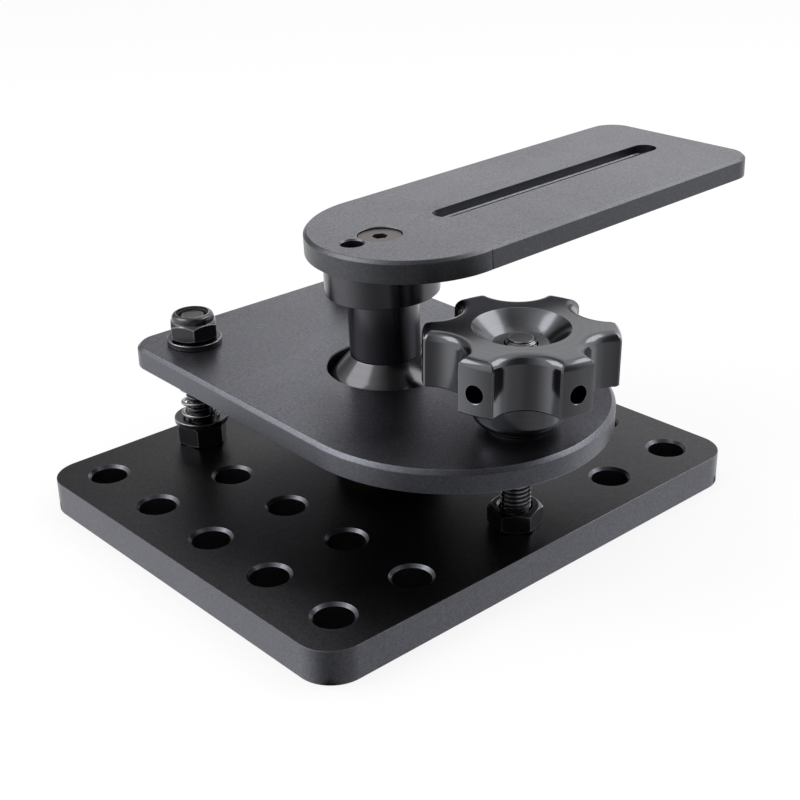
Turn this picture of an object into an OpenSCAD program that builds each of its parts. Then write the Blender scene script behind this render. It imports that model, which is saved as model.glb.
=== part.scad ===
// Ball leveling head. A ball with a post and a slotted camera bar is clamped between
// a drilled base plate and a clamp plate, by a star knob in front and two sprung studs behind.
// Millimetres, +Z up. The origin is the centre of the base plate's underside.
// +X runs along the six-hole rows, and +Y towards the two sprung studs.

/* [Base plate] */
// Distance between neighbouring holes of the grid
hole_pitch = 25.4; // [24:0.1:30]
// Columns of holes along X
base_columns = 6; // [6:2:8]
// Rows of holes along Y
base_rows = 5; // [5:2:7]
// Plate left outside the centres of the outermost holes
base_margin = 13.5; // [9:0.5:20]
// Thickness of the base plate
base_t = 9.525; // [8:0.125:14]
// Radius of the base plate's corners
base_corner_r = 9.75; // [2:0.25:16]
// Diameter of the clearance holes
base_hole_d = 10.3; // [6:0.1:12]
// Bevel at the mouth of each clearance hole
base_hole_bevel = 0.8; // [0.2:0.1:1.2]

/* [Clamp plate] */
// Width of the clamp plate
clamp_w = 90.6; // [80:0.2:96]
// Thickness of the clamp plate
clamp_t = 6.35; // [5:0.05:8]
// Distance from the ball's axis to the centre of the round front end
clamp_front_c = 24.4; // [18:0.2:30]
// Radius of the clamp plate's rear corners
clamp_corner_r = 8; // [3:0.5:14]
// Bevel along the clamp plate's upper edge
clamp_bevel = 1.1; // [0.4:0.1:1.6]
// Height of the clamp plate's upper face over the ball's centre
clamp_over_ball = 14; // [13.2:0.1:15.4]
// Slope of the clamp plate towards the front, in degrees
clamp_lean = 1.35; // [0:0.05:2]
// Radius of the opening round the ball's neck
neck_opening_r = 17.1; // [16.2:0.1:17.4]

/* [Ball and post] */
// Diameter of the ball
ball_d = 40; // [39:0.5:41]
// Depth of the ball's lowest point under the base plate's upper face
ball_sink = 3.4; // [3:0.1:3.8]
// Outer radius of the post
post_r = 10; // [9:0.25:12]
// Length of the post between the ball's neck and the flange
post_length = 18.8; // [14:0.2:26]
// Outer radius of the flange under the camera bar
flange_r = 16; // [13:0.5:22]
// Thickness of the flange
flange_t = 9.25; // [5:0.25:14]
// Lean of the post away from the bar's long end, in degrees
head_lean = 1.6; // [0:0.1:3]
// Outer radius of the ring that the ball sits in
seat_ring_r = 16; // [15:0.5:18]
// Radius of the hole through the seat ring
seat_bore_r = 8; // [7.5:0.5:10]
// Depth of the seat ring's pocket in the base plate
seat_pocket_depth = 4; // [3.9:0.1:5]
// Height of the seat ring's rim over the base plate
seat_ring_rise = 2.2; // [1.6:0.1:2.8]

/* [Camera bar] */
// Width of the camera bar
bar_w = 59.9; // [50:0.1:60]
// Thickness of the camera bar
bar_t = 6.35; // [5:0.05:9]
// Radius of the bar's round end
bar_round_r = 30; // [30:0.1:32]
// Distance from the post's axis to the centre of the round end
bar_round_c = 11.5; // [8:0.5:14]
// Distance from the post's axis to the far end of the bar
bar_reach = 127.8; // [122:0.2:150]
// Radius of the bar's far corners
bar_corner_r = 8.8; // [3:0.2:14]
// Bevel along the bar's upper edge
bar_bevel = 0.9; // [0.3:0.1:1.5]
// Turn of the bar round the post towards the knob's side, in degrees
bar_yaw = 0.9; // [0:0.1:3]
// Distance from the post's axis to the near end of the slot
slot_start = 20.6; // [17:0.2:30]
// Distance from the post's axis to the far end of the slot
slot_end = 113.8; // [80:0.1:117]
// Width of the slot
slot_w = 6.6; // [5:0.1:7]
// Width of the wider groove along the top of the slot
groove_w = 7.8; // [7.4:0.1:10]
// Depth of that groove
groove_depth = 2.6; // [1:0.1:4]
// Diameter of the small plain hole behind the screw
pin_hole_d = 6.35; // [4:0.05:7]
// Distance from the post's axis to that hole
pin_hole_x = 9.75; // [9.7:0.05:12]

/* [Clamp knob] */
// Radius over the lobes
knob_r = 25; // [23:0.5:27]
// Number of lobes
knob_lobes = 6; // [5:1:7]
// Height of the lobed head
knob_head_h = 14.6; // [11:0.2:18]
// Length of the hub below the head
knob_hub_h = 11.3; // [6:0.1:16]
// Radius of the hub under the head
knob_hub_r = 12.3; // [11:0.1:13]
// Rounding under the hub's foot
knob_foot_round = 3; // [1:0.1:3.2]
// Radius of the scallops between the lobes
knob_scallop_r = 8.9; // [7:0.1:9.5]
// Distance from the knob's axis to the centres of the scallops
knob_scallop_c = 27.6; // [26.5:0.1:29]
// Rounding over the upper edge
knob_round = 2.8; // [1.5:0.1:3.2]
// Rounding over the upper edges of the scallops
knob_scallop_round = 2.5; // [1.5:0.1:3]
// Direction of one lobe from +X, in degrees
knob_lobe_angle = 17; // [0:1:59]
// Radius of the dished recess at the top
dish_r = 12.6; // [10:0.1:13.5]
// Radius of the dish's flat floor
dish_floor_r = 7.4; // [6:0.1:9]
// Depth of the dish
dish_depth = 4.5; // [2:0.1:6]
// Diameter of the tommy bar hole in each lobe
tommy_d = 4.8; // [3:0.1:6]
// Depth of the tommy bar holes
tommy_depth = 10; // [6:0.5:12]

/* [Studs, nuts and washers] */
// Outer diameter of the studs' thread
stud_d = 8; // [7:0.1:8.4]
// Distance from the ball's axis to the front stud and to the line of the rear studs
stud_row = 50.8; // [50:0.1:52]
// Distance between the two rear studs
stud_spread = 61; // [54:0.5:66]
// Width across the flats of the nuts
nut_af = 13; // [12.4:0.1:14]
// Height of the nuts that lock the rear studs in the base plate
rear_nut_h = 6.5; // [5:0.1:8]
// Height of the nut that locks the front stud
front_nut_h = 5.5; // [4:0.1:6.5]
// Overall height of the lock nuts
lock_nut_h = 7.3; // [7.2:0.1:9]
// Height of the lock nuts' six-sided part
lock_hex_h = 4.9; // [4:0.1:5.4]
// Outer diameter of the washers on the studs
washer_d = 16; // [14.5:0.5:18]
// Thickness of those washers
washer_t = 1.6; // [1.2:0.1:2]
// Outer diameter of the knob's thrust washer
thrust_washer_d = 17; // [16:0.5:19]
// Thickness of the knob's thrust washer
thrust_washer_t = 1.2; // [0.8:0.1:1.6]

/* [Springs] */
// Outer diameter of the springs
spring_d = 11.4; // [11:0.1:13]
// Diameter of the spring wire
wire_d = 1.1; // [0.8:0.1:1.3]
// Whole coils in a spring
spring_coils = 4; // [3:1:5]

/* [Screws] */
// Thread diameter of the countersunk screw through the bar
bar_screw_d = 6; // [5:0.5:6.4]
// Width of the recess round its head
countersink_d = 12.4; // [12:0.1:13]
// Depth of the head under the bar's upper face
bar_screw_inset = 0.5; // [0.4:0.1:1.2]
// Length of its shank below the bar
bar_screw_reach = 11; // [8:0.5:12]
// Thread diameter of the screw through the ball
ball_screw_d = 8; // [6:0.5:8.5]
// Length of that screw's thread inside the post
ball_screw_reach = 12; // [8:0.5:12]

/* [Clearances] */
// Gap between the ball and each of its seats
ball_gap = 0.2; // [0.1:0.05:0.3]
// Gap round the pieces that turn on a stud
turning_gap = 0.4; // [0.35:0.05:0.5]
// Gap between flat faces that turn or tilt against each other
face_gap = 0.12; // [0.1:0.01:0.2]
// Gap round the studs in the clamp plate
plate_hole_gap = 0.6; // [0.5:0.05:0.9]
// Gap round the front stud in the base plate
front_hole_gap = 0.25; // [0.15:0.05:0.3]
// Gap round the seat ring in its pocket
seat_pocket_gap = 0.15; // [0.1:0.05:0.3]
// Gap round the studs in the washers under the springs
washer_gap = 0.3; // [0.2:0.05:0.5]
// Gap round the screw in the ball
ball_screw_gap = 0.4; // [0.2:0.05:0.6]
// Gap round the screw in the camera bar
bar_screw_gap = 0.3; // [0.2:0.05:0.5]
// Gap round a thread in its tapped hole
thread_gap = 0.05; // [0.02:0.01:0.1]

/* [Hidden] */
$fn = 96;

// Amount by which a cutter runs past the face that it opens
past = 1;
// Colours as photographed
anodised = [0.16, 0.165, 0.18];
anodised_light = [0.27, 0.28, 0.31];
turned = [0.22, 0.225, 0.24];
black_steel = [0.12, 0.12, 0.125];
spring_steel = [0.34, 0.34, 0.35];
nylon = [0.55, 0.55, 0.52];

// Base plate
base_w = (base_columns - 1) * hole_pitch + 2 * base_margin;
base_l = (base_rows - 1) * hole_pitch + 2 * base_margin;
base_hole_r = base_hole_d / 2;
// Columns of holes that are drilled at each side of the base plate
drilled_columns = 2;
seat_pocket_r = seat_ring_r + seat_pocket_gap;

// Height of the ball's centre over the base plate
ball_height = ball_d / 2 - ball_sink;

// Clamp plate, in its own frame: origin on the upper face over the ball, Z square to the face
clamp_height = ball_height + clamp_over_ball;
clamp_z = base_t + clamp_height;
clamp_rear = base_l / 2 / cos(clamp_lean);
clamp_round_r = clamp_w / 2;
front_stud_y = -stud_row / cos(clamp_lean);
// The rear studs stand upright, so their holes are placed where they cross the plate's middle
rear_hole_y = (stud_row - clamp_t / 2 * sin(clamp_lean)) / cos(clamp_lean);
plate_hole_r = stud_d / 2 + plate_hole_gap;

// Ball and head, in the head's own frame: origin at the ball's centre, Z along the post
ball_z = base_t + ball_height;
ball_r = ball_d / 2;
// The 45 degree neck leaves the ball where it is tangent to it
neck_foot_r = ball_r * cos(45);
neck_foot_z = ball_r * sin(45);
neck_top_z = neck_foot_z + neck_foot_r - post_r;
flange_z = neck_top_z + post_length;
flange_top_z = flange_z + flange_t;
bar_z = flange_top_z + face_gap;
post_edge = 0.25;
flange_edge = 0.4;

// Tapped holes run this far past their screws
tap_past = 1.5;

// Cap screw through the ball: its head and socket are shares of its thread's diameter
cap_head_share = 13 / 8;
cap_socket_share = 3 / 4;
ball_screw_r = ball_screw_d / 2;
ball_screw_head_r = cap_head_share * ball_screw_r;
ball_screw_socket_af = cap_socket_share * ball_screw_d;
ball_screw_hole_r = ball_screw_r + ball_screw_gap;
ball_pocket_r = ball_screw_head_r + ball_screw_gap;
ball_pocket_top = -9;
ball_screw_tap_depth = ball_screw_reach + tap_past;

// Seat ring under the ball, in the base plate's pocket
seat_ring_z = base_t - seat_pocket_depth;
seat_rim_z = base_t + seat_ring_rise;

// Camera bar, in its own frame: origin on the underside at the post's axis, X along the bar
slot_mid = (slot_start + slot_end) / 2;
slot_travel = slot_end - slot_start - groove_w;
countersink_r = countersink_d / 2;
bar_screw_r = bar_screw_d / 2;
bar_screw_hole_r = bar_screw_r + bar_screw_gap;
bar_screw_head_gap = 0.2;
bar_screw_head_r = countersink_r - bar_screw_head_gap;
// Straight rim of the head above its 90 degree cone
bar_screw_lip = 0.3;
// The recess has a straight wall too, down to where its own cone starts
countersink_wall = bar_screw_inset + bar_screw_lip - bar_screw_head_gap / 2;
flat_socket_share = 2 / 3;
bar_screw_socket_af = flat_socket_share * bar_screw_d;
bar_screw_socket_depth = 2.4;
bar_screw_tap_depth = bar_screw_reach + tap_past;

// Knob, in the clamp plate's frame at the front stud
thrust_washer_z = 0.05;
knob_z = thrust_washer_z + thrust_washer_t + face_gap;
knob_h = knob_hub_h + knob_head_h;
knob_under_bevel = 0.5;
// The scallops' rounding is cut off this far under its crest, where it would only graze the top
scallop_break = 0.1;
// Stretch of stud that stands over the floor of the dish
front_stud_proud = 1.5;

// Studs and what is on them
stud_r = stud_d / 2;
turning_r = stud_r + turning_gap;
stud_inset = 1;
stud_end_bevel = 0.8;
nut_corner_r = nut_af / 2 / cos(30);
// Radius of the round face inside a nut's bevelled corners, as a share of its half width
nut_face_share = 0.96;
washer_bore_r = stud_r + washer_gap;
washer_edge = 0.2;
front_hole_r = stud_r + front_hole_gap;
// How far the nuts are turned from having a corner towards +X, in degrees
rear_base_nut_turn = 45;
rear_lock_nut_turn = 57;
front_base_nut_turn = 16;
front_stud_base_y = -stud_row + clamp_height * tan(clamp_lean) - stud_row * pow(tan(clamp_lean), 2);
// Foot of the front stud along its own axis, which leans with the clamp plate
front_stud_foot = (stud_inset - clamp_z + stud_row * tan(clamp_lean)) / cos(clamp_lean);
spring_washer_z = base_t + rear_nut_h;
spring_foot_z = spring_washer_z + washer_t;
rear_plate_top = clamp_z + stud_row * tan(clamp_lean);
rear_plate_under = rear_plate_top - clamp_t / cos(clamp_lean);
// A leaning face rises this much over the half width of what stands on it
lean_rise = nut_corner_r * tan(clamp_lean);
lock_nut_z = rear_plate_top + (face_gap + washer_t) / cos(clamp_lean) + lean_rise + face_gap / 2;
// The rear studs end this far under the tops of their lock nuts
rear_stud_drop = 0.8;
rear_stud_top = lock_nut_z + lock_nut_h - rear_stud_drop;

// Lock nut's collar, and the groove inside it for the plastic ring
collar_inset = 0.35;
collar_r = nut_af / 2 - collar_inset;
collar_round = 1.4;
collar_mouth_r = collar_r - collar_round;
insert_groove = 0.6;
insert_r = collar_mouth_r + insert_groove;
insert_floor = 0.5;
insert_roof = 0.6;
insert_z = lock_hex_h + insert_floor;
insert_h = lock_nut_h - insert_z - insert_roof;
insert_gap = 0.03;

// Spring, unrolled: distance along the coil, height and slope of the wire
coil_r = (spring_d - wire_d) / 2;
wire_r = wire_d / 2;
wire_sides = 6;
rings_per_coil = 8;
spring_bend_r = wire_d;
bend_steps = 3;
spring_h = rear_plate_under - (coil_r + wire_r) * tan(clamp_lean) - face_gap - spring_foot_z;
// Rise of the wire in the bends at the two ends, and over the coils between them
bend_rise = spring_bend_r;
coil_rise = spring_h - 2 * (wire_d + bend_rise);
wire_slope = atan(coil_rise / (spring_coils * 2 * PI * coil_r));
bend_run = spring_bend_r * (1 - sin(wire_slope));

// Places of a turned spring ring: [distance round the coil, height, slope of the wire]
function lower_bend(k) =
    let (a = 90 - k / bend_steps * (90 - wire_slope))
    [spring_bend_r * (1 - sin(a)), wire_d + spring_bend_r * cos(a), a];
function coil_ring(k) =
    let (share = k / (rings_per_coil * spring_coils))
    let (first = lower_bend(bend_steps))
    [first[0] + share * (2 * PI * coil_r * spring_coils),
     first[1] + share * (spring_h - 2 * first[1]), wire_slope];
function upper_bend(k) =
    let (last = coil_ring(rings_per_coil * spring_coils))
    let (mirrored = lower_bend(bend_steps - k))
    [last[0] + bend_run - mirrored[0], spring_h - mirrored[1], mirrored[2]];
spring_places = concat(
    [[0, 0, 90]],
    [for (k = [0 : bend_steps - 1]) lower_bend(k)],
    [for (k = [0 : rings_per_coil * spring_coils]) coil_ring(k)],
    [for (k = [1 : bend_steps]) upper_bend(k)],
    [[coil_ring(rings_per_coil * spring_coils)[0] + bend_run, spring_h, 90]]
);

// Point on the coil's cylinder, and the direction of the wire there
function turn_at(place) = place[0] / coil_r * 180 / PI;
function wire_point(place) =
    [coil_r * cos(turn_at(place)), coil_r * sin(turn_at(place)), place[1]];
function wire_ring(place) =
    let (a = turn_at(place))
    let (outward = [cos(a), sin(a), 0])
    let (across = [sin(a) * sin(place[2]), -cos(a) * sin(place[2]), cos(place[2])])
    [for (s = [0 : wire_sides - 1])
        wire_point(place)
        + wire_r * (cos(s * 360 / wire_sides) * outward + sin(s * 360 / wire_sides) * across)];

// Least gap between two stretches of wire that are at least three quarters of a coil apart
spring_gap = min([for (i = spring_places, j = spring_places)
    if (j[0] - i[0] > 1.5 * PI * coil_r) norm(wire_point(i) - wire_point(j)) - wire_d]);
echo(least_gap_between_coils = spring_gap);

// Frames of the pieces that lean
module in_clamp_frame() {
    translate([0, 0, clamp_z])
        rotate([clamp_lean, 0, 0])
            children();
}

module on_front_stud() {
    in_clamp_frame()
        translate([0, front_stud_y, 0])
            children();
}

module in_head_frame() {
    translate([0, 0, ball_z])
        rotate([0, -head_lean, 0])
            children();
}

module in_bar_frame() {
    in_head_frame()
        translate([0, 0, bar_z])
            rotate([0, 0, -bar_yaw])
                children();
}

// Rear stud on one side: -1 left, 1 right
module on_rear_stud(side) {
    translate([side * stud_spread / 2, stud_row, 0])
        children();
}

// Shapes that repeat
module rounded_rectangle(w, l, r) {
    square([w - 2 * r, l], center = true);
    square([w, l - 2 * r], center = true);
    for (x = [-1, 1], y = [-1, 1])
        translate([x * (w / 2 - r), y * (l / 2 - r)])
            circle(r = r);
}

// Section of a plate across its width, with its two upper edges bevelled
module bevelled_section(w, t, bevel) {
    polygon([
        [-w / 2, 0],
        [w / 2, 0],
        [w / 2, t - bevel],
        [w / 2 - bevel, t],
        [bevel - w / 2, t],
        [-w / 2, t - bevel]
    ]);
}

// Strip along X from x0 to x1, bevelled along its long upper edges
module bevelled_strip(x0, x1, w, t, bevel) {
    translate([x0, 0, 0])
        rotate([90, 0, 90])
            linear_extrude(x1 - x0)
                bevelled_section(w, t, bevel);
}

module bevelled_disc(r, t, bevel) {
    cylinder(r = r, h = t - bevel);
    translate([0, 0, t - bevel])
        cylinder(r1 = r, r2 = r - bevel, h = bevel);
}

// Bar or plate along X: a round near end at the origin, and a far end with rounded corners
module bevelled_tongue(length, w, round_r, corner_r, t, bevel) {
    bevelled_disc(round_r, t, bevel);
    bevelled_strip(0, length - corner_r, w, t, bevel);
    translate([length - corner_r, 0, 0])
        rotate([0, 0, 90])
            bevelled_strip(corner_r - w / 2, w / 2 - corner_r, 2 * corner_r, t, bevel);
    for (side = [-1, 1])
        translate([length - corner_r, side * (w / 2 - corner_r), 0])
            bevelled_disc(corner_r, t, bevel);
}

// Cutter for a hole through a plate that lies from z = 0 to z = t
module through_hole(r, t) {
    translate([0, 0, -past])
        cylinder(r = r, h = t + 2 * past);
}

module bevelled_hole(r, t, bevel) {
    through_hole(r, t);
    translate([0, 0, t - bevel])
        cylinder(r1 = r, r2 = r + bevel + past, h = bevel + past);
}

// Cutter for a slot along X, centred on the origin
module slot_cutter(travel, w, h) {
    translate([-travel / 2, -w / 2, 0])
        cube([travel, w, h]);
    for (side = [-1, 1])
        translate([side * travel / 2, 0, 0])
            cylinder(d = w, h = h);
}

// Six-sided prism with its corners bevelled at both ends
module hexagon_body(h) {
    face_r = nut_face_share * nut_af / 2;
    reach_r = nut_corner_r + past;
    rise = (reach_r - face_r) * tan(30);
    intersection() {
        cylinder(r = nut_corner_r, h = h, $fn = 6);
        rotate_extrude()
            polygon([[0, 0], [face_r, 0], [reach_r, rise], [reach_r, h - rise], [face_r, h], [0, h]]);
    }
}

module plain_nut(h, bore_r) {
    difference() {
        hexagon_body(h);
        through_hole(bore_r, h);
    }
}

// Flat ring with slightly rounded-off rims
module washer(r, bore_r, t) {
    rotate_extrude()
        polygon([
            [bore_r, 0],
            [r - washer_edge, 0],
            [r, washer_edge],
            [r, t - washer_edge],
            [r - washer_edge, t],
            [bore_r, t]
        ]);
}

// Threaded rod from z0 to z1, with bevelled ends
module stud(z0, z1) {
    rotate_extrude()
        polygon([
            [0, z0],
            [stud_r - stud_end_bevel, z0],
            [stud_r, z0 + stud_end_bevel],
            [stud_r, z1 - stud_end_bevel],
            [stud_r - stud_end_bevel, z1],
            [0, z1]
        ]);
}

// Base plate and what is fixed to it
module base_grid_holes() {
    last_column = base_columns - 1;
    last_row = base_rows - 1;
    for (column = [0 : last_column], row = [0 : last_row]) {
        side_column = min(column, last_column - column);
        // The inner drilled columns end one row short, where the rear studs stand
        if (side_column < drilled_columns && (side_column == 0 || row < last_row))
            translate([(column - last_column / 2) * hole_pitch, (row - last_row / 2) * hole_pitch, 0])
                bevelled_hole(base_hole_r, base_t, base_hole_bevel);
    }
}

module base_plate() {
    color(anodised)
        difference() {
            linear_extrude(base_t)
                rounded_rectangle(base_w, base_l, base_corner_r);
            base_grid_holes();
            translate([0, 0, seat_ring_z])
                cylinder(r = seat_pocket_r, h = seat_pocket_depth + past);
            translate([0, front_stud_base_y, 0])
                through_hole(front_hole_r, base_t);
            for (side = [-1, 1])
                on_rear_stud(side)
                    through_hole(stud_r + thread_gap, base_t);
        }
}

module front_stud() {
    color(black_steel)
        on_front_stud()
            stud(front_stud_foot, knob_z + knob_h - dish_depth + front_stud_proud);
}

module front_base_nut() {
    color(black_steel)
        translate([0, front_stud_base_y, base_t])
            rotate([0, 0, front_base_nut_turn])
                plain_nut(front_nut_h, turning_r);
}

module rear_stud(side) {
    color(black_steel)
        on_rear_stud(side)
            stud(stud_inset, rear_stud_top);
}

module rear_base_nut(side) {
    color(black_steel)
        on_rear_stud(side)
            translate([0, 0, base_t])
                rotate([0, 0, rear_base_nut_turn])
                    plain_nut(rear_nut_h, stud_r + thread_gap);
}

module rear_spring_washer(side) {
    color(black_steel)
        on_rear_stud(side)
            translate([0, 0, spring_washer_z])
                washer(washer_d / 2, washer_bore_r, washer_t);
}

// The wire as one closed tube: rings joined by triangles, with a fan over each end
module rear_spring(side) {
    rings = len(spring_places);
    ring_points = [for (place = spring_places) each wire_ring(place)];
    walls = [
        for (k = [0 : rings - 2], s = [0 : wire_sides - 1])
            let (a = k * wire_sides + s)
            let (b = k * wire_sides + (s + 1) % wire_sides)
            each [[a, b, b + wire_sides], [a, b + wire_sides, a + wire_sides]]
    ];
    last = (rings - 1) * wire_sides;
    foot_cap = [for (s = [1 : wire_sides - 2]) [0, s + 1, s]];
    head_cap = [for (s = [1 : wire_sides - 2]) [last, last + s, last + s + 1]];
    color(spring_steel)
        on_rear_stud(side)
            translate([0, 0, spring_foot_z])
                polyhedron(points = ring_points, faces = concat(walls, foot_cap, head_cap));
}

// Ball, its seat and the post
module ball_seat_ring() {
    color(turned)
        difference() {
            translate([0, 0, seat_ring_z])
                cylinder(r = seat_ring_r, h = seat_rim_z - seat_ring_z);
            translate([0, 0, seat_ring_z - past])
                cylinder(r = seat_bore_r, h = seat_rim_z - seat_ring_z + 2 * past);
            translate([0, 0, ball_z])
                sphere(r = ball_r + ball_gap);
        }
}

// Half section of the ball and its conical neck
module ball_section() {
    intersection() {
        circle(r = ball_r);
        translate([0, -ball_r])
            square([ball_r, ball_r + neck_foot_z]);
    }
    polygon([[0, neck_foot_z], [neck_foot_r, neck_foot_z], [post_r, neck_top_z], [0, neck_top_z]]);
}

module ball() {
    color(turned)
        in_head_frame()
            difference() {
                rotate_extrude()
                    ball_section();
                translate([0, 0, -ball_r - past])
                    cylinder(r = ball_pocket_r, h = ball_r + past + ball_pocket_top);
                cylinder(r = ball_screw_hole_r, h = 2 * (ball_r + past), center = true);
            }
}

module post() {
    top = flange_top_z;
    color(anodised)
        in_head_frame()
            difference() {
                rotate_extrude()
                    polygon([
                        [0, neck_top_z],
                        [post_r - post_edge, neck_top_z],
                        [post_r, neck_top_z + post_edge],
                        [post_r, flange_z],
                        [flange_r - flange_edge, flange_z],
                        [flange_r, flange_z + flange_edge],
                        [flange_r, top],
                        [0, top]
                    ]);
                translate([0, 0, neck_top_z - past])
                    cylinder(r = ball_screw_r + thread_gap, h = ball_screw_tap_depth + past);
                translate([0, 0, top - bar_screw_tap_depth])
                    cylinder(r = bar_screw_r + thread_gap, h = bar_screw_tap_depth + past);
            }
}

// Socket for a hexagon key, cut down from z = 0
module key_socket(af, depth) {
    translate([0, 0, -depth])
        cylinder(r = af / 2 / cos(30), h = depth + past, $fn = 6);
}

// Cap screw with its head in the ball's pocket, head down
module ball_screw() {
    head_z = ball_pocket_top - ball_screw_d;
    color(black_steel)
        in_head_frame()
            difference() {
                union() {
                    translate([0, 0, head_z])
                        cylinder(r = ball_screw_head_r, h = ball_screw_d);
                    translate([0, 0, head_z])
                        cylinder(r = ball_screw_r, h = neck_top_z + ball_screw_reach - head_z);
                }
                translate([0, 0, head_z])
                    mirror([0, 0, 1])
                        key_socket(ball_screw_socket_af, ball_screw_d / 2);
            }
}

module bar_screw() {
    head_top = bar_t - bar_screw_inset;
    cone_top = head_top - bar_screw_lip;
    cone_h = bar_screw_head_r - bar_screw_r;
    color(black_steel)
        in_bar_frame()
            difference() {
                rotate_extrude()
                    polygon([
                        [0, -bar_screw_reach],
                        [bar_screw_r, -bar_screw_reach],
                        [bar_screw_r, cone_top - cone_h],
                        [bar_screw_head_r, cone_top],
                        [bar_screw_head_r, head_top],
                        [0, head_top]
                    ]);
                translate([0, 0, head_top])
                    key_socket(bar_screw_socket_af, bar_screw_socket_depth);
            }
}

module camera_bar() {
    color(anodised_light)
        in_bar_frame()
            difference() {
                translate([bar_round_c, 0, 0])
                    bevelled_tongue(bar_reach - bar_round_c, bar_w, bar_round_r, bar_corner_r, bar_t,
                        bar_bevel);
                // Countersunk hole at the post
                through_hole(bar_screw_hole_r, bar_t);
                translate([0, 0, bar_t - countersink_wall - countersink_r])
                    cylinder(r1 = 0, r2 = countersink_r, h = countersink_r);
                translate([0, 0, bar_t - countersink_wall])
                    cylinder(r = countersink_r, h = countersink_wall + past);
                // Small plain hole
                translate([-pin_hole_x, 0, 0])
                    through_hole(pin_hole_d / 2, bar_t);
                // Slot through the bar, and the wider groove along its top
                translate([slot_mid, 0, -past])
                    slot_cutter(slot_travel, slot_w, bar_t + 2 * past);
                translate([slot_mid, 0, bar_t - groove_depth])
                    slot_cutter(slot_travel, groove_w, groove_depth + past);
            }
}

// Clamp plate and what turns on it
module clamp_plate() {
    length = clamp_rear + clamp_front_c;
    color(anodised_light)
        difference() {
            in_clamp_frame()
                translate([0, -clamp_front_c, -clamp_t])
                    rotate([0, 0, 90])
                        bevelled_tongue(length, clamp_w, clamp_round_r, clamp_corner_r, clamp_t,
                            clamp_bevel);
            in_clamp_frame()
                translate([0, 0, -clamp_t]) {
                    through_hole(neck_opening_r, clamp_t);
                    translate([0, front_stud_y, 0])
                        through_hole(plate_hole_r, clamp_t);
                    for (side = [-1, 1])
                        translate([side * stud_spread / 2, rear_hole_y, 0])
                            through_hole(plate_hole_r, clamp_t);
                }
            // The seat is centred on the ball, whichever way the plate leans
            translate([0, 0, ball_z])
                sphere(r = ball_r + ball_gap);
        }
}

module rear_top_washer(side) {
    color(black_steel)
        in_clamp_frame()
            translate([side * stud_spread / 2, rear_hole_y, face_gap])
                washer(washer_d / 2, turning_r + face_gap, washer_t);
}

// Half section of the lock nut's round collar
module collar_section() {
    square([collar_r, lock_nut_h - collar_round]);
    square([collar_mouth_r, lock_nut_h]);
    translate([collar_mouth_r, lock_nut_h - collar_round])
        circle(r = collar_round);
}

module rear_lock_nut(side) {
    color(black_steel)
        on_rear_stud(side)
            translate([0, 0, lock_nut_z])
                rotate([0, 0, rear_lock_nut_turn])
                    difference() {
                        union() {
                            hexagon_body(lock_hex_h);
                            rotate_extrude()
                                collar_section();
                        }
                        through_hole(turning_r, lock_nut_h);
                        translate([0, 0, insert_z])
                            cylinder(r = insert_r, h = insert_h);
                        translate([0, 0, insert_z])
                            cylinder(r = collar_mouth_r, h = lock_nut_h);
                    }
}

module rear_lock_nut_insert(side) {
    color(nylon)
        on_rear_stud(side)
            translate([0, 0, lock_nut_z + insert_z + insert_gap])
                difference() {
                    cylinder(r = insert_r - insert_gap, h = insert_h - 2 * insert_gap);
                    through_hole(turning_r, insert_h);
                }
}

module knob_thrust_washer() {
    color(black_steel)
        on_front_stud()
            translate([0, 0, thrust_washer_z])
                washer(thrust_washer_d / 2, turning_r, thrust_washer_t);
}

// Half section of the knob before the scallops are cut
module knob_section() {
    round_z = knob_h - knob_round;
    // Hub, with a rounded foot
    translate([0, knob_foot_round])
        square([knob_hub_r, knob_hub_h - knob_foot_round]);
    square([knob_hub_r - knob_foot_round, knob_foot_round]);
    intersection() {
        translate([knob_hub_r - knob_foot_round, knob_foot_round])
            circle(r = knob_foot_round);
        square([knob_hub_r, knob_foot_round]);
    }
    // Lobed head, with its upper edge rounded over
    translate([0, knob_hub_h])
        square([knob_r - knob_round, knob_head_h]);
    polygon([
        [0, knob_hub_h],
        [knob_r - knob_under_bevel, knob_hub_h],
        [knob_r, knob_hub_h + knob_under_bevel],
        [knob_r, round_z],
        [0, round_z]
    ]);
    translate([knob_r - knob_round, round_z])
        circle(r = knob_round);
}

// Half section of a scallop's cutter, flared at the top so that the knob's edge stays rounded
module scallop_section() {
    round_z = knob_h - knob_scallop_round + scallop_break;
    translate([0, knob_hub_h - past])
        square([knob_scallop_r, knob_head_h + 2 * past]);
    difference() {
        translate([0, round_z])
            square([knob_scallop_r + knob_scallop_round, knob_scallop_round]);
        translate([knob_scallop_r + knob_scallop_round, round_z])
            circle(r = knob_scallop_round);
    }
}

module clamp_knob() {
    lobe_step = 360 / knob_lobes;
    dish_z = knob_h - dish_depth;
    tommy_z = knob_hub_h + (knob_head_h - knob_round) / 2;
    color(turned)
        on_front_stud()
            translate([0, 0, knob_z])
                difference() {
                    rotate_extrude()
                        knob_section();
                    for (k = [0 : knob_lobes - 1]) {
                        rotate([0, 0, knob_lobe_angle + (k + 0.5) * lobe_step])
                            translate([knob_scallop_c, 0, 0])
                                rotate_extrude()
                                    scallop_section();
                        rotate([0, 0, knob_lobe_angle + k * lobe_step])
                            translate([knob_r - tommy_depth, 0, tommy_z])
                                rotate([0, 90, 0])
                                    cylinder(d = tommy_d, h = tommy_depth + past);
                    }
                    through_hole(turning_r, knob_h);
                    // Dish: a cone down to a flat floor
                    translate([0, 0, dish_z])
                        cylinder(r1 = dish_floor_r,
                            r2 = dish_r + (dish_r - dish_floor_r) / dish_depth * past,
                            h = dish_depth + past);
                }
}

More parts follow.
